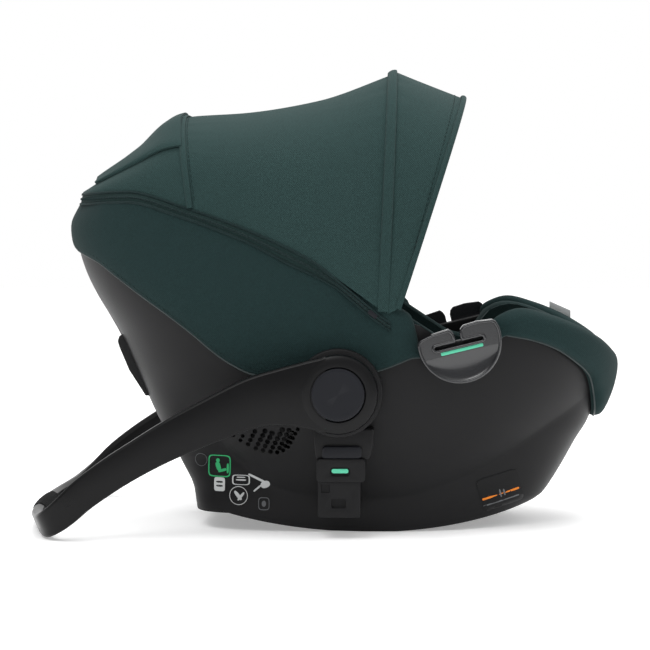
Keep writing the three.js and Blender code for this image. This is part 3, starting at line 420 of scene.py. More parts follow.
def bevel(obj, width, segments, limit):
    """A bevel on the edges that are sharper than limit, as a modifier."""
    mod = obj.modifiers.new("edges", "BEVEL")
    mod.width, mod.segments = width * MM, segments
    mod.limit_method, mod.angle_limit = "ANGLE", math.radians(limit)


def rounded(obj, width, segments=3, sharp=40, limit=35):
    """Bevels the hard edges of an object."""
    bevel(obj, width, segments, limit)
    bake(obj)
    smooth(obj, sharp)
    return obj


def subdivided(obj, levels=2):
    mod = obj.modifiers.new("subdivision", "SUBSURF")
    mod.levels = mod.render_levels = levels
    bake(obj)
    smooth(obj, 180)
    return obj


def cut_out(obj, cutter, sharp=40):
    mod = obj.modifiers.new("cut", "BOOLEAN")
    mod.operation, mod.object, mod.solver = "DIFFERENCE", cutter, "MANIFOLD"
    bake(obj)
    bpy.data.objects.remove(cutter)
    smooth(obj, sharp)
    return obj


def slab(front, back, wrap=False):
    """Points and faces of a closed solid between two grids of the same size."""
    rows, columns = front.shape[:2]
    points = np.concatenate([front.reshape(-1, 3), back.reshape(-1, 3)])
    n = rows * columns
    faces = quads(rows, columns, wrap) + quads(rows, columns, wrap, n, True)
    rim = [[(r * columns, (r + 1) * columns) for r in range(rows - 1)] if not wrap else [],
        [(r * columns + columns - 1, (r + 1) * columns + columns - 1) for r in range(rows - 1)]
        if not wrap else [], [(c, (c + 1) % columns) for c in range(columns if wrap else columns - 1)]]
    rim.append([(a + (rows - 1) * columns, b + (rows - 1) * columns) for a, b in rim[2]])
    for edges in rim:
        faces += [[a, b, b + n, a + n] for a, b in edges]
    return points, faces


def loft(sections, ring=False):
    """Points and faces through closed sections, with flat ends unless the last joins the first."""
    count, n = sections.shape[:2]
    points = sections.reshape(-1, 3)
    faces = quads(count, n, True)
    if ring:
        faces += [[(count - 1) * n + i, (count - 1) * n + (i + 1) % n, (i + 1) % n, i] for i in range(n)]
    else:
        faces += [list(range(n)), list(range((count - 1) * n, count * n))]
    return points, faces


def directions(path, hint):
    """Unit directions along a path, across it and square to both."""
    along = np.gradient(path, axis=0)
    along /= np.linalg.norm(along, axis=1, keepdims=True) + 1e-12
    across = np.broadcast_to(hint, path.shape) - (along * hint).sum(1, keepdims=True) * along
    across = across / (np.linalg.norm(across, axis=1, keepdims=True) + 1e-12)
    return along, across, np.cross(along, across)


def swept(path, width, thickness, hint, corners=16, squareness=2.0):
    """Sections of a superellipse along a path. hint is the direction of its width."""
    _, across, up = directions(path, np.asarray(hint, float))
    a = (np.arange(corners) + 0.5) / corners * TAU
    u, v = power(np.cos(a), 2 / squareness), power(np.sin(a), 2 / squareness)
    width, thickness = (np.broadcast_to(w, len(path))[:, None, None] / 2 for w in (width, thickness))
    return (path[:, None] + across[:, None] * u[None, :, None] * width + up[:, None] * v[None, :, None]
        * thickness)


def tube(name, path, radius, material, body, hint=(0, 0, 1), **rest):
    return make(name, *loft(swept(np.asarray(path, float), 2 * radius, 2 * radius, hint, 10)), material,
        body, **rest)


def lathe(name, centre, profile, material, body, side=-1, turns=96, **rest):
    """A solid turned about a line along Y. profile holds radius and outward y. Discs close its ends."""
    a = np.arange(turns) / turns * TAU
    r, y = np.array([p for p in profile if p[0] > 0], float).T
    rows = np.stack([centre[0] + r[:, None] * np.cos(a),
        np.broadcast_to(side * y[:, None], (len(r), turns)), centre[1] + r[:, None] * np.sin(a)], -1)
    return make(name, *loft(rows), material, body, **rest)


def prism(name, outline, y0, y1, material, body, **rest):
    """A plate between two values of y, from an outline in x and z."""
    outline = np.asarray(outline, float)
    rows = np.stack([np.column_stack([outline[:, 0], np.full(len(outline), y), outline[:, 1]])
        for y in (y0, y1)])
    return make(name, *loft(rows), material, body, **rest)


def rectangle(x0, z0, x1, z1, r, steps=6):
    corners = [(x1 - r, z0 + r, -0.25), (x1 - r, z1 - r, 0), (x0 + r, z1 - r, 0.25), (x0 + r, z0 + r, 0.5)]
    return [(x + r * math.cos((t + k / steps / 4) * TAU), z + r * math.sin((t + k / steps / 4) * TAU))
        for x, z, t in corners for k in range(steps + 1)]


def smooth_path(points, steps):
    """A Catmull-Rom curve through points, with equal steps between them."""
    p = np.asarray(points, float)
    p = np.vstack([2 * p[0] - p[1], p, 2 * p[-1] - p[-2]])
    out = []
    for i in range(1, len(p) - 2):
        for t in np.arange(steps) / steps:
            out.append(0.5 * (2 * p[i] + (p[i + 1] - p[i - 1]) * t
                + (2 * p[i - 1] - 5 * p[i] + 4 * p[i + 1] - p[i + 2]) * t**2
                + (3 * p[i] - p[i - 1] - 3 * p[i + 1] + p[i + 2]) * t**3))
    return np.array(out + [p[-2]])


def mirrored(points):
    return np.asarray(points, float) * (1, -1, 1)


SIDES = (("right", -1), ("left", 1))

# ---------------------------------------------------------------- shell
COLUMNS = 240
ANGLES = (np.arange(COLUMNS) + 0.5) / COLUMNS * TAU


def shell_top(x):
    """The shell's rim lies under the covers, and stands free between them."""
    free = np.clip((x - 98) / 10, 0, 1) * np.clip((201 - x) / 10, 0, 1)
    return RIM_Z(x) - 8 + 6 * free


bottom, top = meet(ANGLES, rocker_z), meet(ANGLES, shell_top)
crease = np.clip(meet(ANGLES, CREASE_Z), bottom + 4, top - 6)
below = [bottom + (crease - bottom) * t for t in np.linspace(0, 1, 26)]
above = [crease + (top - crease) * t for t in np.linspace(0, 1, 22)[1:] ** 1.4]
levels = np.array(below + above)
outer = off_wall(ANGLES, levels, 0.0 * levels)
inner = off_wall(ANGLES, levels, 0.0 * levels - SHELL_WALL)
shell = make("outer_shell_skin", *slab(outer, inner, wrap=True), "shell_plastic", "seat",
    ["outer_shell"], sharp=50)


def drums(places, y0, y1, side, sides=12):
    """One mesh of small drums along Y, each at x, z and radius, for cutting."""
    a = np.arange(sides) / sides * TAU
    points, faces = [], []
    for x, z, r in places:
        for y in (y0, y1):
            points += [(x + r * math.cos(t), side * y, z + r * math.sin(t)) for t in a]
        n = len(points) - 2 * sides
        faces += [[n + i for i in range(sides)], [n + sides + i for i in range(sides)]]
        faces += [[n + i, n + (i + 1) % sides, n + sides + (i + 1) % sides, n + sides + i]
            for i in range(sides)]
    return make("drums", points, faces, "shell_plastic")


VENT_ROWS = ((-102.4, 111.9, 1), (-94.2, 106.7, 2), (-85.2, 102.4, 4), (-76.2, 98.1, 5), (-68, 96, 5),
    (-59, 95, 6), (-51.2, 94.5, 6), (-44.3, 97.1, 5), (-38.3, 101.3, 5))
vents = [(x + 2.8 * k, z + 5.33 * k, 1.9 + 1.3 * math.sin(math.pi * (i + 1) / 10) * (0.7 + 0.08 * k))
    for i, (x, z, n) in enumerate(VENT_ROWS) for k in range(n)]
for _, side in SIDES:
    cut_out(shell, drums(vents, 100, 200, side), 50)


# ---------------------------------------------------------------- hub, handle and fittings
def arm_path():
    """Middle line of the handle from the right hub to the left one, with its height and thickness."""
    stations = ((6, -206.8, 166.8, 86, 19.6), (-16, -206.8, 166.5, 75, 19.6),
        (-42, -206.8, 164.5, 64, 19.6), (-76, -206.8, 157.5, 56, 19.6), (-125, -206.8, 136.5, 49, 19.6),
        (-168, -206.8, 116, 44, 19.6), (-202, -206.5, 97, 40, 19.6), (-234.6, -206, 77, 38, 19.8),
        (-267, -204, 53.5, 36, 20), (-292, -200, 30.5, 33, 20), (-308.5, -189, 18.5, 30, 18),
        (-319, -160, 15, 26, 15), (-330, -105, 13, 23, 13), (-334.5, -52, 12.6, 22, 13),
        (-336, 0, 12.6, 22, 13))
    half = np.array(stations, float)
    return np.vstack([half, half[-2::-1] * (1, -1, 1, 1, 1)])


PLUMB = np.array([-0.392, 0, 0.92])


def handle_sections(path):
    """Chamfered sections of the handle: a wide bevel on the outer face and a small one inside."""
    centre, tall, thick = path[:, :3], path[:, 3] / 2, path[:, 4] / 2
    along = np.gradient(centre, axis=0)
    along /= np.linalg.norm(along, axis=1, keepdims=True)
    up = PLUMB - (along @ PLUMB)[:, None] * along
    up /= np.linalg.norm(up, axis=1, keepdims=True)
    out = np.cross(along, up)
    profile = [(1, -5.2, 1, 0), (1, -1.4, 1, -2.9), (1, 0, 1, -5), (1, 0, -1, 2.5), (1, -2.5, -1, 0)]
    full = profile + [(-a, -b, c, d) for a, b, c, d in reversed(profile)]
    rows = [centre + up * (a * tall + b)[:, None] + out * (c * thick + d)[:, None] for a, b, c, d in full]
    return np.stack(rows, 1)


path = smooth_path(arm_path(), 6)
handle = make("handle_bow", *loft(handle_sections(path)), "handle_plastic", "handle", sharp=25)
rounded(handle, 0.7, 2, 30, 22)
for word, side in SIDES:
    lathe(f"handle_hub_{word}", HUB, [(30.4, 208), (30.4, 216), (31.4, 217), (39.5, 217.05), (43.6, 215),
        (45, 211.5), (45, 199), (43.5, 197), (13, 197), (12.5, 197.5), (12.5, 208)], "handle_plastic",
        "handle", side, sharp=28)
    lathe(f"hub_cap_{word}", HUB, [(0.01, 218.6), (9, 218.6), (18, 218.6), (26, 218.6), (28.4, 218.55),
        (29.3, 218.2), (29.7, 217.4), (29.8, 213.5), (0.01, 213.5)], "cap_plastic",
        f"release_button_{word}", side, replaces=[f"release_button_{word}"], sharp=28)
    lathe(f"hub_collar_{word}", HUB, [(13, 196), (48, 196), (49.6, 195.3), (50, 193.8), (50, 164),
        (13, 164)], "shell_plastic", "seat", side, replaces=[f"hub_boss_{word}"], sharp=28)
    lathe(f"canopy_pivot_disc_{word}", PIVOT, [(0.01, 189), (7.5, 189), (8.5, 188), (8.5, 182),
        (0.01, 182)], "cap_plastic", "seat", side, replaces=[f"canopy_pivot_{word}"], sharp=28)
GRIP_HALF, GRIP_ROWS = 57, 181
grip_path = path[np.abs(path[:, 1]) < 80]  # longer than the grip, so that both its ends lie on the path
ribs = 0.45 * np.cos(np.linspace(0, 30 * TAU, GRIP_ROWS))
grip_y = np.linspace(-GRIP_HALF, GRIP_HALF, GRIP_ROWS)
fine = np.stack([np.interp(grip_y, grip_path[:, 1], grip_path[:, i]) for i in range(5)], 1)
fine[:, 3:] += (0.8 + ribs)[:, None]
make("handle_grip_sleeve", *loft(handle_sections(fine)), "rail_rubber", "handle", ["handle_grip"], sharp=30)
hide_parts("handle_frame")

GUIDE_X, GUIDE_Z, GUIDE_TILT, GUIDE_RADIUS = 155.5, 226, 0.24, 47.5
GUIDE_PLATE_Y, GUIDE_FACE_Y, GUIDE_RIM_Y = 195.8, 199.4, 202
DISH_HALF = 43.8


def guide_points(pairs):
    u, v = np.array(pairs, float).T
    c, s = math.cos(GUIDE_TILT), math.sin(GUIDE_TILT)
    return np.column_stack([GUIDE_X + u * c - v * s, GUIDE_Z + u * s + v * c])


def inset(outline, distance):
    """A closed outline moved inwards, with mitred corners. It runs anticlockwise in x and z."""
    p = np.asarray(outline, float)
    a = p - np.roll(p, 1, 0)
    b = np.roll(p, -1, 0) - p
    na, nb = (np.column_stack([-e[:, 1], e[:, 0]]) / (np.linalg.norm(e, axis=1, keepdims=True) + 1e-9)
        for e in (a, b))
    m = na + nb
    m /= np.maximum(0.35, (m * m).sum(1, keepdims=True) / 2)
    return p + m * distance


HALF_DISC = [(GUIDE_RADIUS * math.cos(t), GUIDE_RADIUS * math.sin(t)) for t in np.linspace(math.pi, TAU, 49)]
LIPS = [(47, 6), (45, 12.4), (41.4, 15.7), (24, 17.6), (8, 16.5), (3.8, 13), (2, 8), (2, -0.3),
    (25, -0.3), (26.3, -0.8), (26.8, -2.2), (26.3, -3.6), (25, -4.1), (-27, -4.1), (-28.4, -3.6),
    (-29, -2.2), (-28.4, -0.8), (-27, -0.3), (-4, -0.3), (-4, 8), (-5.8, 12.6), (-9, 16.3), (-28, 14.6),
    (-41, 11.8), (-45.5, 9.3), (-47.2, 5)]
guide_outline = guide_points(HALF_DISC + LIPS)
for word, side in SIDES:
    prism(f"belt_guide_plate_{word}", guide_outline, side * GUIDE_PLATE_Y, side * 190, "gloss_plastic",
        "seat", replaces=[f"belt_guide_{word}"], sharp=30)
    prism(f"belt_guide_lips_{word}", guide_points([(-45.4, -12.5), (45.4, -12.5), (47.2, -4)] + LIPS
        + [(-47.2, -4)]), side * GUIDE_FACE_Y, side * 196.6, "gloss_plastic", "seat", sharp=30)
    u, r = np.meshgrid(np.linspace(-DISH_HALF, DISH_HALF, 41), np.linspace(0, 1, 16), indexing="ij")
    v = -12.4 - (np.sqrt(GUIDE_RADIUS ** 2 - u**2) - 14.6) * r
    place = guide_points(np.stack([u.ravel(), v.ravel()], 1)).reshape(u.shape + (2,))
    depth = GUIDE_FACE_Y - 3.4 * (4 * r * (1 - r)) ** 0.7 * (1 - (np.abs(u) / DISH_HALF) ** 5)
    dish = [np.stack([place[..., 0], side * y, place[..., 1]], -1) for y in (depth, 195.4 + 0 * depth)]
    make(f"belt_guide_dish_{word}", *slab(*dish), "gloss_plastic", "seat", sharp=50)
    ring = np.stack([np.column_stack([o[:, 0], np.full(len(o), side * y), o[:, 1]]) for o,
        y in ((guide_outline, 196.8), (inset(guide_outline, 0.2), 201.2),
        (inset(guide_outline, 1.0), GUIDE_RIM_Y), (inset(guide_outline, 2.6), GUIDE_RIM_Y),
        (inset(guide_outline, 3.4), 201.2), (inset(guide_outline, 3.7), 196.8))])
    make(f"belt_guide_rim_{word}", *loft(ring, ring=True), "gloss_plastic", "seat", sharp=50)
    foot = guide_points([((GUIDE_RADIUS - 9) * math.cos(t), (GUIDE_RADIUS - 9) * math.sin(t))
        for t in np.linspace(math.pi, TAU, 33)])
    rounded(prism(f"belt_guide_foot_{word}", foot, side * 190.5, side * 165, "shell_plastic", "seat"), 1.2)
    strip = guide_points([(-23.6, -11), (-22.5, -11.4), (24, -11.4), (25, -11), (25, -8), (24, -7.6),
        (-22.5, -7.6), (-23.6, -8)])
    rounded(prism(f"belt_guide_mark_{word}", strip, side * 200.3, side * 198.5, "mint_plastic", "seat",
        replaces=[f"belt_guide_strip_{word}"]), 0.4)

for word, side in SIDES:
    def part(name, outline, y0, y1, bevel, material="shell_plastic", body="seat", cuts=(), **rest):
        piece = prism(f"{name}_{word}", outline, side * y0, side * y1, material, body, **rest)
        for shape, c0, c1 in cuts:
            cut_out(piece, prism("cutter", shape, side * c0, side * c1, material, None))
        return rounded(piece, bevel, 3)

    lower = rectangle(-3.5, 25.5, 44.5, 67, 2.5)
    part("adapter_lower", lower, 189, 124, 1.2, replaces=[f"adapter_housing_{word}"],
        cuts=[(rectangle(12, 36, 28, 46.6, 2), 200, 184),
        (rectangle(0.2, 53.8, 9.8, 62.8, 1.2), 200, 186.5), (rectangle(1, 20, 39.5, 60, 1), 183, 163)])
    part("adapter_block", rectangle(-5, 66, 50, 92, 4), 192, 130, 1.8,
        cuts=[(rectangle(10.4, 72.7, 33, 82.7, 4.6), 200, 189)])
    funnel = [(-8.5, 126), (-8.2, 112), (-6, 91.5), (55, 91.5), (59, 108), (60, 126)]
    part("adapter_funnel", funnel, 186, 150, 2.5)
    part("adapter_strip", rectangle(12, 76, 31, 81, 2), 191.4, 188.5, 0.5, "mint_plastic",
        replaces=[f"adapter_window_{word}"])
    part("adapter_pull", rectangle(1, 92.4, 46, 106.5, 4.5), 191.4, 184.8, 1.6, "cap_plastic",
        f"adapter_lever_{word}", replaces=[f"adapter_lever_{word}"])

# ---------------------------------------------------------------- fabric covers
def rim_cover(name, angles, edge, bulge, replaces, thick_low):
    """A padded edge over the shell's rim, and the hem along its lower edge."""
    top = meet(angles, RIM_Z)
    low = np.minimum(meet(angles, edge), top - 18)
    ends = np.minimum(1, np.minimum(np.arange(len(angles)), np.arange(len(angles))[::-1]) / 4) ** 0.5
    x = wall(angles, top)[..., 0]
    b = bulge(x) * (0.35 + 0.65 * ends)
    upper_part = 0.96 - 0.6 * np.clip((-250 - x) / 30, 0, 1)  # rounder over the head end

    def at(distance, part, drop=0.0):
        z = low + (top - low) * part - drop
        return off_wall(angles, z, distance * np.ones_like(z))
    outside = [at(b * thick_low, 0), at(b * (thick_low + 0.3) + 0.4, 0.03), at(b * 0.9 + 0.4, 0.18),
        at(b, 0.4), at(b, 0.62), at(b * upper_part, 0.82),
        at(b * (upper_part - 0.2) - 3 * (0.96 - upper_part), 1, 1),
        at(b * 0.3 - 9 * (0.96 - upper_part), 1, -4), at(-4 - 6 * (0.96 - upper_part), 1, -5.5),
        at(-9, 1, -4.6), at(-12.5, 1, -1), at(-14, 1, 8), at(-14.5, 1, 30)]
    inside = [at(0.4, 0, -0.8), at(0.4, 0.04), at(0.4, 0.18), at(0.4, 0.4), at(0.4, 0.62), at(0.4, 0.82),
        at(0.4, 1, 8), at(-0.2, 1, 6.5), at(-2, 1, 6), at(-4, 1, 6.6), at(-4.8, 1, 8.5), at(-5, 1, 14),
        at(-5, 1, 30)]
    cover = make(name, *slab(np.array(outside), np.array(inside)), "cover_fabric", "seat", replaces=replaces)
    subdivided(cover, 1)
    hem = off_wall(angles, low, b * thick_low * 0.55 + 0.9)
    tube(f"{name}_hem", hem, 0.95, "hem_light", "seat")
    seam = off_wall(angles, low + 7, b * (thick_low + 0.25) + 1.2)
    stitches(f"{name}_stitching", seam, "seat")


def stitches(name, path, body, length=4.2, gap=2.2, radius=0.38, material="piping"):
    """A row of short raised stitches along a path, as one mesh."""
    reach = np.concatenate([[0], np.cumsum(np.linalg.norm(np.diff(path, axis=0), axis=1))])
    points, faces = [], []
    for s in np.arange(2, reach[-1] - length, length + gap):
        at = np.array([[np.interp(s + length * t, reach, path[:, i]) for i in range(3)]
            for t in (0, 0.15, 0.85, 1)])
        size = np.array([0.5, 2, 2, 0.5]) * radius
        p, f = loft(swept(at, size, size, (0, 0, 1), 5))
        faces += [[i + len(points) for i in face] for face in f]
        points += p.tolist()
    return make(name, points, faces, material, body, sharp=60)


head_turn, foot_turn = angle_at(COVER_HEAD_END, 245), angle_at(COVER_FOOT_END, 245)
head_bulge = curve((-300, 9), (-270, 7), (-200, 5), (0, 4.5), (40, 7), (76, 14), (110, 12))
foot_bulge = curve((190, 8), (230, 15), (290, 19), (340, 19))
rim_cover("seat_cover_head_padding", np.linspace(head_turn, TAU - head_turn, 190), HEAD_COVER_EDGE_Z,
    head_bulge, ["seat_cover_head"], 0.35)
rim_cover("seat_cover_foot_padding", np.linspace(-foot_turn, foot_turn, 130), FOOT_COVER_EDGE_Z,
    foot_bulge, ["seat_cover_foot"], 0.5)
for word, side in SIDES:
    turn = angle_at(COVER_HEAD_END - 11, 245)
    heights = np.linspace(float(meet(np.array([turn]), HEAD_COVER_EDGE_Z)[0]) + 3,
        float(meet(np.array([turn]), RIM_Z)[0]) - 1, 24)
    seam = off_wall(np.full(24, turn if side > 0 else TAU - turn), heights, np.full(24, 5.3))
    tube(f"cover_end_seam_{word}", seam, 0.9, "piping", "seat", hint=(1, 0, 0))

# ---------------------------------------------------------------- canopy
CLOTH = 1.8


def sheet_over(name, surface, along, across, thickness, lift, material, body=None, replaces=()):
    s, c = np.meshgrid(along, across, indexing="ij")
    rise = lift(s, c) if callable(lift) else lift + 0 * s
    return make(name, *slab(off_sheet(surface, s, c, rise), off_sheet(surface, s, c, rise - thickness)),
        material, body, replaces=replaces, sharp=60)


def size_of(surface, along, across):
    """Width and length of a sheet over a surface, in metres."""
    c = np.linspace(across[0], across[-1], 80)
    s = np.linspace(along[0], along[-1], 40)
    widths = [np.linalg.norm(np.diff(surface(t, c), axis=0), axis=1).sum() for t in s]
    lengths = [np.linalg.norm(np.diff(surface(s, t), axis=0), axis=1).sum() for t in c]
    return float(np.mean(widths)) * MM, float(np.mean(lengths)) * MM


def puckers(near, reach, size, waves):
    """Small folds that run away from the bows that the cloth is sewn to."""
    def lift(s, c):
        fade = sum(np.exp(-np.abs(s - n) / reach) for n in near)
        sag = np.sin(np.pi * c) ** 2
        return size * fade * sag * (0.6 * np.sin(waves * TAU * c + 3 * s) + 0.4
            * np.sin(1.7 * waves * TAU * c + 1.1))
    return lift


FULL = np.linspace(0, 1, 121)
for name, surface, s0, s1, rows, hold, near in (("canopy_rear_cloth", canopy, 0.012, REAR_BOW_AT, 44,
        "stretched", (0.02, 0.55)), ("canopy_main_cloth", canopy, REAR_BOW_AT, 0.998, 50, "stretched",
        (0.55, 1.0)), ("canopy_visor_cloth", visor, 0.0, 1.0, 22, "stretched", (0.0,))):
    along = np.linspace(s0, s1, rows)
    body = "seat" if "rear" in name else None
    piece = sheet_over(name, surface, along, FULL, CLOTH,
        puckers(near, 0.06 if surface is canopy else 0.25, 0.7, 17), "canopy_fabric", body,
        [name.replace("cloth", "panel") if "visor" not in name else "canopy_visor"])
    if "main" in name:
        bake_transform(piece)
    if "visor" in name:
        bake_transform(piece)
    size_of(surface, along, FULL)

flap_along, flap_across = np.linspace(0.17, 0.548, 30), np.linspace(0.2, 0.8, 60)


def flap_lift(s, c):
    """The flap is rolled up under the rear bow, and stands off the panel in soft folds."""
    crown = np.abs(np.sin(np.pi * (c - 0.2) / 0.6)) ** 0.4
    swollen = np.sin(np.pi * np.clip((s - 0.15) / 0.42, 0, 1)) ** 0.6
    return 3.0 + 5.0 * crown * (0.45 + 0.55 * swollen) + 0.8 * np.sin(38 * c + 7 * s) * np.sin(9 * s)


flap = sheet_over("canopy_rear_flap_cloth", canopy, flap_along, flap_across, 2.6, flap_lift,
    "canopy_fabric", "seat", ["canopy_rear_flap"])
size_of(canopy, flap_along, flap_across)


def under_handle(points, start, room):
    """Eases the widest points inwards, so that the handle's arms pass outside them."""
    points = points.copy()
    over = np.maximum(np.abs(points[..., 1]) - start, 0)
    points[..., 1] = np.sign(points[..., 1]) * (np.minimum(np.abs(points[..., 1]), start) + room
        * (1 - np.exp(-over / room)))
    return points


def arch_band(name, surface, at, width, rise, material, body, trim=0.0, under=0.3):
    """A sewn band along an arch, domed outwards."""
    c = np.linspace(trim, 1 - trim, 121)
    path_ = off_sheet(surface, np.full(121, at), c, np.full(121, rise / 2 - under))
    ahead = off_sheet(surface, np.full(121, at - 0.01), c, np.full(121, rise / 2 - under))
    hint = (path_ - ahead) / (np.linalg.norm(path_ - ahead, axis=1, keepdims=True) + 1e-9)
    _, across_, up = directions(path_, hint)
    a = np.arange(14) / 14 * TAU
    points = (path_[:, None] + across_[:, None] * (width / 2 * np.cos(a))[None, :, None] + up[:, None]
        * (rise / 2 * np.sin(a))[None, :, None])
    return make(name, *loft(under_handle(points, 193.5, 3.0)), material, body, sharp=80)


arch_band("canopy_front_bow_sleeve", canopy, 0.993, 12, 5.2, "canopy_fabric", "canopy_front", 0.0)
arch_band("canopy_rear_bow_sleeve", canopy, REAR_BOW_AT, 7.5, 3.4, "canopy_fabric", "seat", 0.004)
arch_band("canopy_visor_hem", visor, 0.985, 6.5, 4.2, "canopy_fabric", "visor", 0.0)
for name, surface, at, body in (("canopy_rear_bow_stitching", canopy, 0.566, "seat"),
        ("canopy_visor_stitching", visor, 0.86, "visor")):
    c = np.linspace(0.02, 0.98, 160)
    stitches(name, off_sheet(surface, np.full(160, at), c, np.full(160, 0.35)), body)

# the padded roll along the canopy's lower edge at the head end
side_run = np.linspace(0.34, 0.0, 40)
back_run = np.linspace(0.0, 1.0, 60)[1:-1]
right_run = canopy(side_run, 0.0)
back_arc = canopy(np.zeros(58), back_run)
back_arc[:, 2] = BASE_Z(0)
back_arc[:, 0] -= 1.5 * np.sin(np.pi * back_run)
roll = np.vstack([right_run, back_arc, mirrored(right_run)[::-1]])
roll[:, 0] += 8 * np.clip((-200 - roll[:, 0]) / 60, 0, 1)
size = 3.0 + 10.0 * np.concatenate([np.clip(1 - side_run / 0.34, 0, 1), np.ones(58),
    np.clip(1 - side_run / 0.34, 0, 1)[::-1]])
rear_roll = make("canopy_rear_roll", *loft(swept(roll + np.array([0, 0, -4]), size * 1.35, size,
    (0, 0, 1), 16)), "canopy_fabric", "seat", sharp=80)

# the zip that joins the canopy to the head cover
ZIP_ROWS, COIL_ROWS, SLIDER_ROW = 120, 960, 115
zip_at = np.linspace(0.02, 1.0, ZIP_ROWS)
upper = canopy(zip_at, 0.0) + np.stack([0 * zip_at, 0 * zip_at - 0.2, 1.5 + 0 * zip_at], 1)
rim = RIM_Z(BASE_X(zip_at))
lower = np.stack([BASE_X(zip_at), -(wall_y(BASE_X(zip_at), rim) + head_bulge(BASE_X(zip_at)) * 0.75),
    np.minimum(rim - 1, upper[:, 2] - 8)], 1)
lower[:, 1] = np.where(rim - 1 > upper[:, 2] - 8, upper[:, 1] + 0.4, lower[:, 1])
ease = np.clip((zip_at - 0.84) / 0.15, 0, 1) ** 2 * (3 - 2 * np.clip((zip_at - 0.84) / 0.15, 0, 1))
for line in (upper, lower):  # the zip's front end runs down below the canopy's corner
    line += np.stack([4 * ease, -1.0 * ease, -12 * ease], 1)
upper, lower = under_handle(upper, 190.5, 2.6), under_handle(lower, 190.5, 2.6)
for word, side in SIDES:
    turn_over = -side
    up_line, low_line = upper * (1, turn_over, 1), lower * (1, turn_over, 1)
    tape = np.stack([low_line + (up_line - low_line) * t
        + np.array([0, -turn_over * 1.6 * math.sin(math.pi * t), 0]) for t in np.linspace(0, 1, 6)])
    back = tape + np.array([0, turn_over * 1.4, 0])
    make(f"zip_tape_{word}", *slab(tape, back), "zip_tape", "seat", sharp=60)
    middle = (tape[2] + tape[3]) / 2 - np.array([0, turn_over * 0.5, 0])
    coil = 1.25 + 0.35 * np.cos(np.arange(COIL_ROWS) * 0.9)
    steps, fine_steps = np.linspace(0, 1, ZIP_ROWS), np.linspace(0, 1, COIL_ROWS)
    fine = np.stack([np.interp(fine_steps, steps, middle[:, i]) for i in range(3)], 1)
    make(f"zip_coil_{word}", *loft(swept(fine, 2 * coil, 2 * coil, (0, 1, 0), 6)), "piping", "seat", sharp=80)
    tube(f"zip_piping_upper_{word}", up_line - np.array([0, turn_over * 0.6, 0]), 1.5, "piping", "seat")
    tube(f"zip_piping_lower_{word}", low_line - np.array([0, turn_over * 0.6, 0]), 1.5, "piping", "seat")
    at, ahead, behind = middle[SLIDER_ROW], middle[SLIDER_ROW + 2], middle[SLIDER_ROW - 2]
    slider = rectangle(-6, -2.6, 6, 2.6, 2)
    tilt = math.atan2(ahead[2] - behind[2], ahead[0] - behind[0])
    turned = [(at[0] + u * math.cos(tilt) - v * math.sin(tilt),
        at[2] + u * math.sin(tilt) + v * math.cos(tilt)) for u, v in slider]
    rounded(prism(f"zip_slider_{word}", turned, at[1] - turn_over * 1.6, at[1], "cap_plastic", "seat"), 0.6)

# ---------------------------------------------------------------- inside of the seat
def lining(name, outside, inside, below_rim, columns, rows, material, replaces, body="seat"):
    a = np.arange(columns) / columns * TAU
    grids = []
    for depth in (inside, outside):
        high = np.full(columns, 300.0)
        for _ in range(14):
            high = RIM_Z(cavity(a, high, depth)[..., 0]) - below_rim
        floor = CAVITY_FLOOR_Z + depth
        t = (1 - np.linspace(0, 1, rows)) ** 1.6
        levels = floor + (high - floor)[None] * t[:, None]
        grids.append(cavity(np.broadcast_to(a, levels.shape), levels, depth))
    front, back = grids
    points, faces = slab(front, back, wrap=True)
    n = rows * columns
    faces = [f for f in faces if not (set(i % n // columns for i in f) == {rows - 1})]
    faces += [list(range((rows - 1) * columns, n)), list(range(n + (rows - 1) * columns, 2 * n))]
    return make(name, points, faces, material, body, replaces=replaces)


pad = lining("seat_pad_cover", -9.5, 0.6, 4, 96, 26, "pad_fabric", ["seat_pad"])

# the pad's edge, which folds outwards and is tucked under the covers all round
turn = np.arange(144) / 144 * TAU
pad_top = np.full(144, 300.0)
for _ in range(14):
    pad_top = RIM_Z(cavity(turn, pad_top, -3)[..., 0]) - 5
edge_in = cavity(turn, pad_top, -3)
over_rim = meet(turn, RIM_Z)
edge_out = off_wall(turn, over_rim, -11.5 + 0 * turn)
edge_out[:, 2] = over_rim - 1.5
crown = np.array([0.0, 2.5, 3.2, 2.2, 0.0])
lip = [edge_in + (edge_out - edge_in) * t + np.array([0, 0, h]) for t, h in zip(np.linspace(0, 1, 5), crown)]
lip = np.stack([edge_in + np.array([0, 0, -14])] + lip)
pad_edge = make("seat_pad_edge", *slab(lip, lip + np.array([0, 0, -2.5]), wrap=True), "pad_fabric",
    "seat", sharp=70)


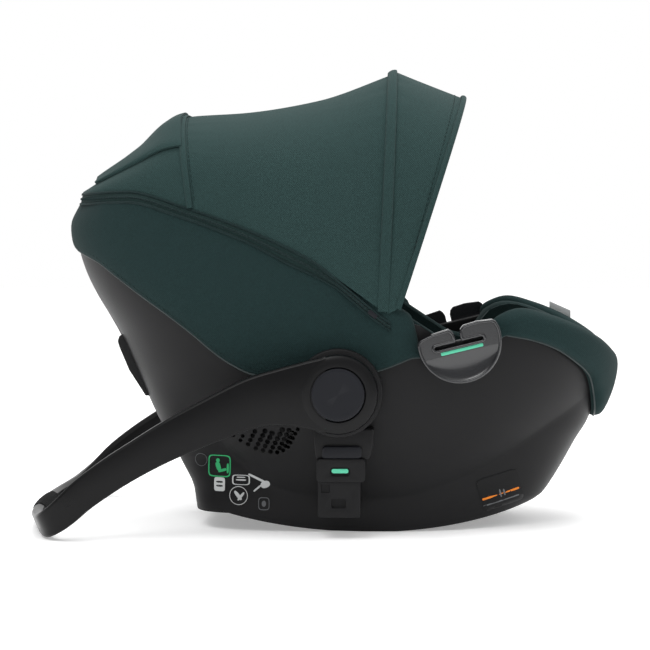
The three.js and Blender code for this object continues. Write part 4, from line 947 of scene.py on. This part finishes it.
def inflated(obj, most, pressure=4.0, voxel=5):
    """Swells a padded piece by cloth simulation with pressure. No point moves further than most."""
    mod = obj.modifiers.new("remesh", "REMESH")
    mod.mode, mod.voxel_size = "VOXEL", voxel * MM
    bake(obj)
    before = np.array([v.co for v in obj.data.vertices])
    mod = obj.modifiers.new("stuffing", "CLOTH")
    mod.settings.use_pressure, mod.settings.uniform_pressure_force = True, pressure
    mod.settings.effector_weights.gravity = 0
    for f in range(1, 15):
        bpy.context.scene.frame_set(f)
    graph = bpy.context.evaluated_depsgraph_get()
    shape = obj.evaluated_get(graph).to_mesh()
    after = np.array([v.co for v in shape.vertices])
    obj.modifiers.clear()
    bpy.context.scene.frame_set(1)
    if after.shape == before.shape:  # otherwise the cushion keeps the shape that it had
        move = after - before
        far = np.linalg.norm(move, axis=1, keepdims=True)
        after = before + move * np.minimum(1, most * MM / np.maximum(far, 1e-9))
        obj.data.vertices.foreach_set("co", after.astype(np.float32).ravel())
        obj.data.update()
    mod = obj.modifiers.new("relax", "SMOOTH")
    mod.factor, mod.iterations = 0.5, 6
    bake(obj)
    subdivided(obj, 1)
    obj.data.materials.clear()
    obj.data.materials.append(COLOURS["inlay_fabric"])
    return obj


def patch(x0, x1, half, under, over, rows, columns):
    """Grids of a cushion that lies on the seat, crowned towards its middle."""
    u, v = np.meshgrid(np.linspace(0, 1, rows), np.linspace(-1, 1, columns), indexing="ij")
    x, y = x0 + (x1 - x0) * u, half(u) * v
    crown = (np.clip(1 - np.abs(v) ** 4, 0, 1) * np.clip(1 - np.abs(2 * u - 1) ** 6, 0, 1)) ** 0.5
    low = cavity_z(x, y, under)
    high = cavity_z(x, y, under + 3 + (over - under - 3) * crown)
    return np.stack([x, y, high], -1), np.stack([x, y, low], -1)


inlay = make("newborn_inlay_cushion", *slab(*patch(-136, 124,
    lambda u: 88 - 26 * (1 - u) ** 2 - 22 * u**4, 3.0, 13.0, 40, 30)), "inlay_fabric", "seat",
    replaces=["newborn_inlay"])
inflated(inlay, 5)

HEADREST = {"x": -158, "z": 180, "ax": -0.4755, "az": 0.8797, "low": 15, "high": 145, "travel": 60,
    "half": 125}


def on_back(s, y, n):
    h = HEADREST
    return np.stack([h["x"] + s * h["ax"] + n * h["az"], y + 0 * s, h["z"] + s * h["az"] - n * h["ax"]], -1)


def back_depth(y):
    deepest = np.full_like(y, -40.0)
    for s in np.linspace(HEADREST["low"], HEADREST["high"] + HEADREST["travel"], 12):
        def buried(n):
            p = on_back(np.full_like(y, s), y, n)
            return ~(p[..., 2] > cavity_z(p[..., 0], y, 0))
        low, _ = halve(np.full_like(y, -40.0), np.full_like(y, 160.0), 24, buried)
        deepest = np.maximum(deepest, low)
    return deepest


def headrest_grids(back, front, trim, columns=49, rows=26, pillow=False):
    y = (HEADREST["half"] - trim) * np.sin(np.linspace(-math.pi / 2, math.pi / 2, columns))
    n = back_depth(y) + 4
    dy, dn = np.gradient(y), np.gradient(n)
    size = np.hypot(dy, dn)
    s = np.linspace(HEADREST["low"] + trim, HEADREST["high"] - trim, rows)
    grids = []
    for distance in (front, back):
        v = np.linspace(-1, 1, rows)[:, None]
        u = np.linspace(-1, 1, columns)[None]
        d = distance * np.ones((rows, columns))
        if pillow and distance == front:
            d = back + 3 + (front - back - 3) * (np.clip(1 - v**4, 0, 1) * np.clip(1 - u**8, 0, 1)) ** 0.5
        yy = y[None] - d * (dn / size)[None]
        nn = n[None] + d * (dy / size)[None]
        grids.append(on_back(np.broadcast_to(s[:, None], d.shape), yy, nn))
    return grids


rounded(make("headrest_shell_curved", *slab(*headrest_grids(0, 5, 0)), "shell_plastic", "headrest",
    replaces=["headrest_shell"]), 1.5)
rest = make("headrest_cushion", *slab(*headrest_grids(6.2, 20, 0.5, pillow=True)), "inlay_fabric",
    "headrest", replaces=["headrest_pad"])
inflated(rest, 5)

# ---------------------------------------------------------------- harness
BUCKLE = (62, 114, 0.35)
LIE = 23


def in_buckle(l, y, n):
    c, s = math.cos(BUCKLE[2]), math.sin(BUCKLE[2])
    return [BUCKLE[0] + l * c + n * s, y, BUCKLE[1] - l * s + n * c]


def on_seat(x, y, lie):
    return [x, y, float(cavity_z(x, y, lie))]


def strap(name, route, across, width, thickness, material, replaces, squareness=8, cushion=False):
    line = smooth_path(route, 10)
    ends = np.minimum(1, (np.minimum(np.arange(len(line)), np.arange(len(line))[::-1])
        + 0.6) / 4) ** 0.5 if cushion else 1
    return make(name, *loft(swept(line, width * ends, thickness * ends, across, 20, squareness)),
        material, "seat", replaces=replaces, sharp=50)


def shoulder(lie):
    return [on_seat(-134, -38, lie), on_seat(-108, -36, lie), on_seat(-70, -32, lie + 8),
        on_seat(-35, -27, lie + 18), in_buckle(-62, -22, 1 + lie - LIE),
        in_buckle(-47.5, -21, 1 + lie - LIE)]


lap = [on_seat(-22, -108, LIE), on_seat(-14, -84, LIE), on_seat(-4, -58, LIE + 3),
    in_buckle(-50, -50, -4), in_buckle(-37, -34, -1)]
for word, side in SIDES:
    flip = np.array([1, -side, 1])
    strap(f"shoulder_webbing_{word}", np.array(shoulder(LIE)) * flip, (0, 1, 0), 36, 1.6, "webbing",
        [f"shoulder_strap_{word}"])
    soft = strap(f"shoulder_cushion_{word}", np.array(shoulder(LIE + 5.5)[:4]) * flip, (0, 1, 0), 50,
        7.5, "inlay_fabric", [f"shoulder_pad_{word}"], 3, cushion=True)
    strap(f"lap_webbing_{word}", np.array(lap) * flip, np.array([1, -0.3, -0.2]) * flip, 28, 1.6,
        "webbing", [f"lap_strap_{word}"])
strap("crotch_webbing", [on_seat(120, 0, 18), on_seat(108, 0, 22), in_buckle(36, 0, 0),
    in_buckle(27.6, 0, 0)], (0, 1, 0), 36, 1.6, "webbing", ["crotch_strap"])
soft = strap("crotch_cushion", [on_seat(119, 0, 24), on_seat(108, 0, 28), in_buckle(38, 0, 7),
    in_buckle(29, 0, 7)], (0, 1, 0), 46, 6.5, "inlay_fabric", ["crotch_pad"], 3, cushion=True)
strap("adjuster_webbing", [on_seat(232, 0, 6), on_seat(246, 0, 6), on_seat(262, 0, 5),
    on_seat(278, 0, 5)], (0, 1, 0), 25, 1.6, "webbing", ["adjuster_strap"])

# ---------------------------------------------------------------- signs on the shell
def decal(name, x, z, width, height, material, side, lift, squareness, hole, tilt):
    """A thin sign that follows the shell: a filled or, with a hole, a ring-shaped rounded outline."""
    t = np.arange(48) / 48 * TAU
    u, v = power(np.cos(t), 2 / squareness) * width / 2, power(np.sin(t), 2 / squareness) * height / 2
    k = np.linspace(max(hole, 0.02), 1, 6)
    px = x + (u * math.cos(tilt) - v * math.sin(tilt))[None] * k[:, None]
    pz = z + (u * math.sin(tilt) + v * math.cos(tilt))[None] * k[:, None]
    grids = [np.stack([px, side * (wall_y(px, pz) + d), pz], -1) for d in (lift, lift - 0.25)]
    return make(name, *slab(*grids, wrap=True), material, "seat", slot="shell_plastic", sharp=60)


SIGNS = (  # generic signs: x, z, width, height, finish, squareness, hole, tilt
    (-120.5, 73.5, 27, 25, "green", 6, 0.9, 0), (-122.5, 79.5, 4.6, 4.6, "green", 2, 0, 0),
    (-122, 73, 5.5, 9.5, "green", 3, 0, 0.35), (-117, 68.6, 10, 3, "green", 4, 0, 0.3),
    (-110.5, 71, 2.6, 11, "green", 3, 0, 0), (-120, 52.8, 13, 15.6, "white", 6, 0, 0),
    (-120, 55.5, 8, 2.2, "dark", 3, 0, 0), (-120, 51, 8, 2.2, "dark", 3, 0, 0),
    (-94.5, 58.8, 21, 11.5, "white", 5, 0.86, 0), (-94.5, 58.8, 12, 1.6, "white", 4, 0, 0),
    (-94.5, 61.8, 10, 1.2, "white", 4, 0, 0), (-74, 60.5, 26, 2.6, "white", 4, 0, -0.42),
    (-66, 54.5, 11, 8, "white", 2.4, 0, 0.35), (-75, 50, 12, 2, "white", 4, 0, 0.7),
    (-97.3, 40.8, 21.6, 21.6, "white", 2, 0.93, 0), (-98, 41, 13, 4, "white", 2.4, 0, -0.9),
    (-94.5, 40, 12, 3, "white", 2.4, 0, 0.9), (-67.7, 32, 13, 15, "grey", 4, 0.88, 0),
    (-67.7, 32, 5, 7, "grey", 2, 0, 0), (-143, 79, 15, 15, "grey", 2, 0.94, 0),
    (207, 45.5, 50, 40, "dark", 9, 0, 0.27), (207.5, 41.5, 45, 2.6, "orange", 12, 0, 0.27),
    (208.2, 33, 44, 1.6, "grey", 12, 0, 0.27), (207, 42.4, 2, 10, "grey", 3, 0, 0.27),
    (211.5, 43.4, 2, 8, "grey", 3, 0, 0.27))
for word, side in SIDES:
    for i, (x, z, w, h, look, square, hole, tilt) in enumerate(SIGNS):
        decal(f"sign_{i + 1}_{word}", x, z, w, h, "label_" + look, side, 0.9 + 0.15 * (w < 27), square,
            hole, tilt)

# a blank sewn tag that stands up from the crown of the far side of the foot cover
TAG_X, TAG_LENGTH, TAG_Y, TAG_Z = 278, 25, 128.5, 246.6
tag_x, tag_up = np.meshgrid(np.linspace(TAG_X, TAG_X + TAG_LENGTH, 12), np.linspace(-3, 8.0, 8),
    indexing="ij")
tag_y = TAG_Y - 0.62 * (tag_x - TAG_X) + 0.02 * tag_up**2
tag_z = TAG_Z - 0.43 * (tag_x - TAG_X) + tag_up
make("blank_tag", *slab(*(np.stack([tag_x, tag_y + half, tag_z], -1) for half in (0.4, -0.4))),
    "label_white", "seat", sharp=60)

# ---------------------------------------------------------------- CAD pieces that stay, with their finishes
FINISH = {"rocker_rail": "rail_rubber", "rear_belt_hook": "shell_plastic", "latch_bar": "steel",
    "hub_axle": "steel", "foam_liner": "foam", "shell_pan": "shell_plastic",
    "handle_inner_cover": "handle_plastic", "canopy_rear_bow": "cap_plastic",
    "canopy_front_bow": "cap_plastic", "visor_wire": "cap_plastic", "buckle_body": "gloss_plastic",
    "buckle_button": "button_red", "buckle_tongue": "gloss_plastic", "adjuster_housing": "gloss_plastic",
    "adjuster_button": "shell_plastic"}
for name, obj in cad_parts.items():
    look = next((f for n, f in FINISH.items() if name.startswith(n)), None)
    if not look:
        continue
    obj.data.materials.clear()
    obj.data.materials.append(COLOURS[look])
    bevel(obj, 0.7, 2, 40)

# ---------------------------------------------------------------- stage, light and camera
SIZE = 6.0
floor_mesh = bpy.data.meshes.new("floor")
floor_mesh.from_pydata([(-SIZE, -SIZE, -0.0005), (SIZE, -SIZE, -0.0005), (SIZE, SIZE, -0.0005),
    (-SIZE, SIZE, -0.0005)], [], [(0, 1, 2, 3)])
floor = bpy.data.objects.new("floor", floor_mesh)
bpy.context.scene.collection.objects.link(floor)
m, tree, shader = start("floor")
shader.inputs["Base Color"].default_value = (0.92, 0.92, 0.92, 1)
shader.inputs["Roughness"].default_value = 0.9
shader.inputs["Specular IOR Level"].default_value = 0.05
shader.inputs["Emission Color"].default_value = (1, 1, 1, 1)
shader.inputs["Emission Strength"].default_value = 0.3
floor_mesh.materials.append(m)

world = bpy.data.worlds.new("studio")
bpy.context.scene.world = world
world.use_nodes = True
background = world.node_tree.nodes["Background"]
# the room is white, but dimmer on the camera's side and at the head end, which shows in glossy faces
# and, from low views that look that way, above the far edge of the floor
sky = world.node_tree
where = node(sky, "ShaderNodeTexCoord").outputs["Generated"]
toward_x, toward_y, toward_z = node(sky, "ShaderNodeSeparateXYZ", {0: where}).outputs[:3]
wall_side = spread(sky, toward_y, -0.55, 0.0, 0.42, 1.0)
ceiling = spread(sky, toward_z, 0.2, 0.75, 0.0, 1.0)
head_side = spread(sky, toward_x, -0.9, -0.2, 0.55, 1.0)
sides = maths(sky, "MULTIPLY", wall_side, head_side)
sky.links.new(maths(sky, "MAXIMUM", sides, ceiling), background.inputs[1])
background.inputs[0].default_value = (1, 1, 1, 1)


def area_light(name, where, target, size, watts):
    light = bpy.data.lights.new(name, "AREA")
    light.shape, light.size, light.size_y, light.energy = "RECTANGLE", size[0], size[1], watts
    obj = bpy.data.objects.new(name, light)
    bpy.context.scene.collection.objects.link(obj)
    obj.location = where
    obj.rotation_euler = (Vector(target) - Vector(where)).to_track_quat("-Z", "Y").to_euler()
    obj.visible_camera = False


area_light("key", (-0.8, -1.6, 2.2), (0, 0, 0.25), (1.6, 1.2), 27)
area_light("top", (0.3, 0.2, 2.4), (0, 0, 0.3), (2.0, 1.6), 44)
area_light("front", (2.2, -1.0, 0.9), (0.1, 0, 0.25), (1.0, 1.4), 3)

TARGET = Vector((0.0006, 0, 0.2322))
DISTANCE, ELEVATION, AZIMUTH, HALF_VIEW = 3.057, math.radians(3.45), math.radians(1.2), 0.39
camera = bpy.data.objects.new("camera", bpy.data.cameras.new("camera"))
bpy.context.scene.collection.objects.link(camera)
camera.location = TARGET + DISTANCE * Vector((math.sin(AZIMUTH) * math.cos(ELEVATION),
    -math.cos(AZIMUTH) * math.cos(ELEVATION), math.sin(ELEVATION)))
camera.rotation_euler = (TARGET - camera.location).to_track_quat("-Z", "Y").to_euler()
camera.data.angle = 2 * math.atan(HALF_VIEW / DISTANCE)
bpy.context.scene.camera = camera
bpy.context.scene.view_settings.view_transform = "Standard"
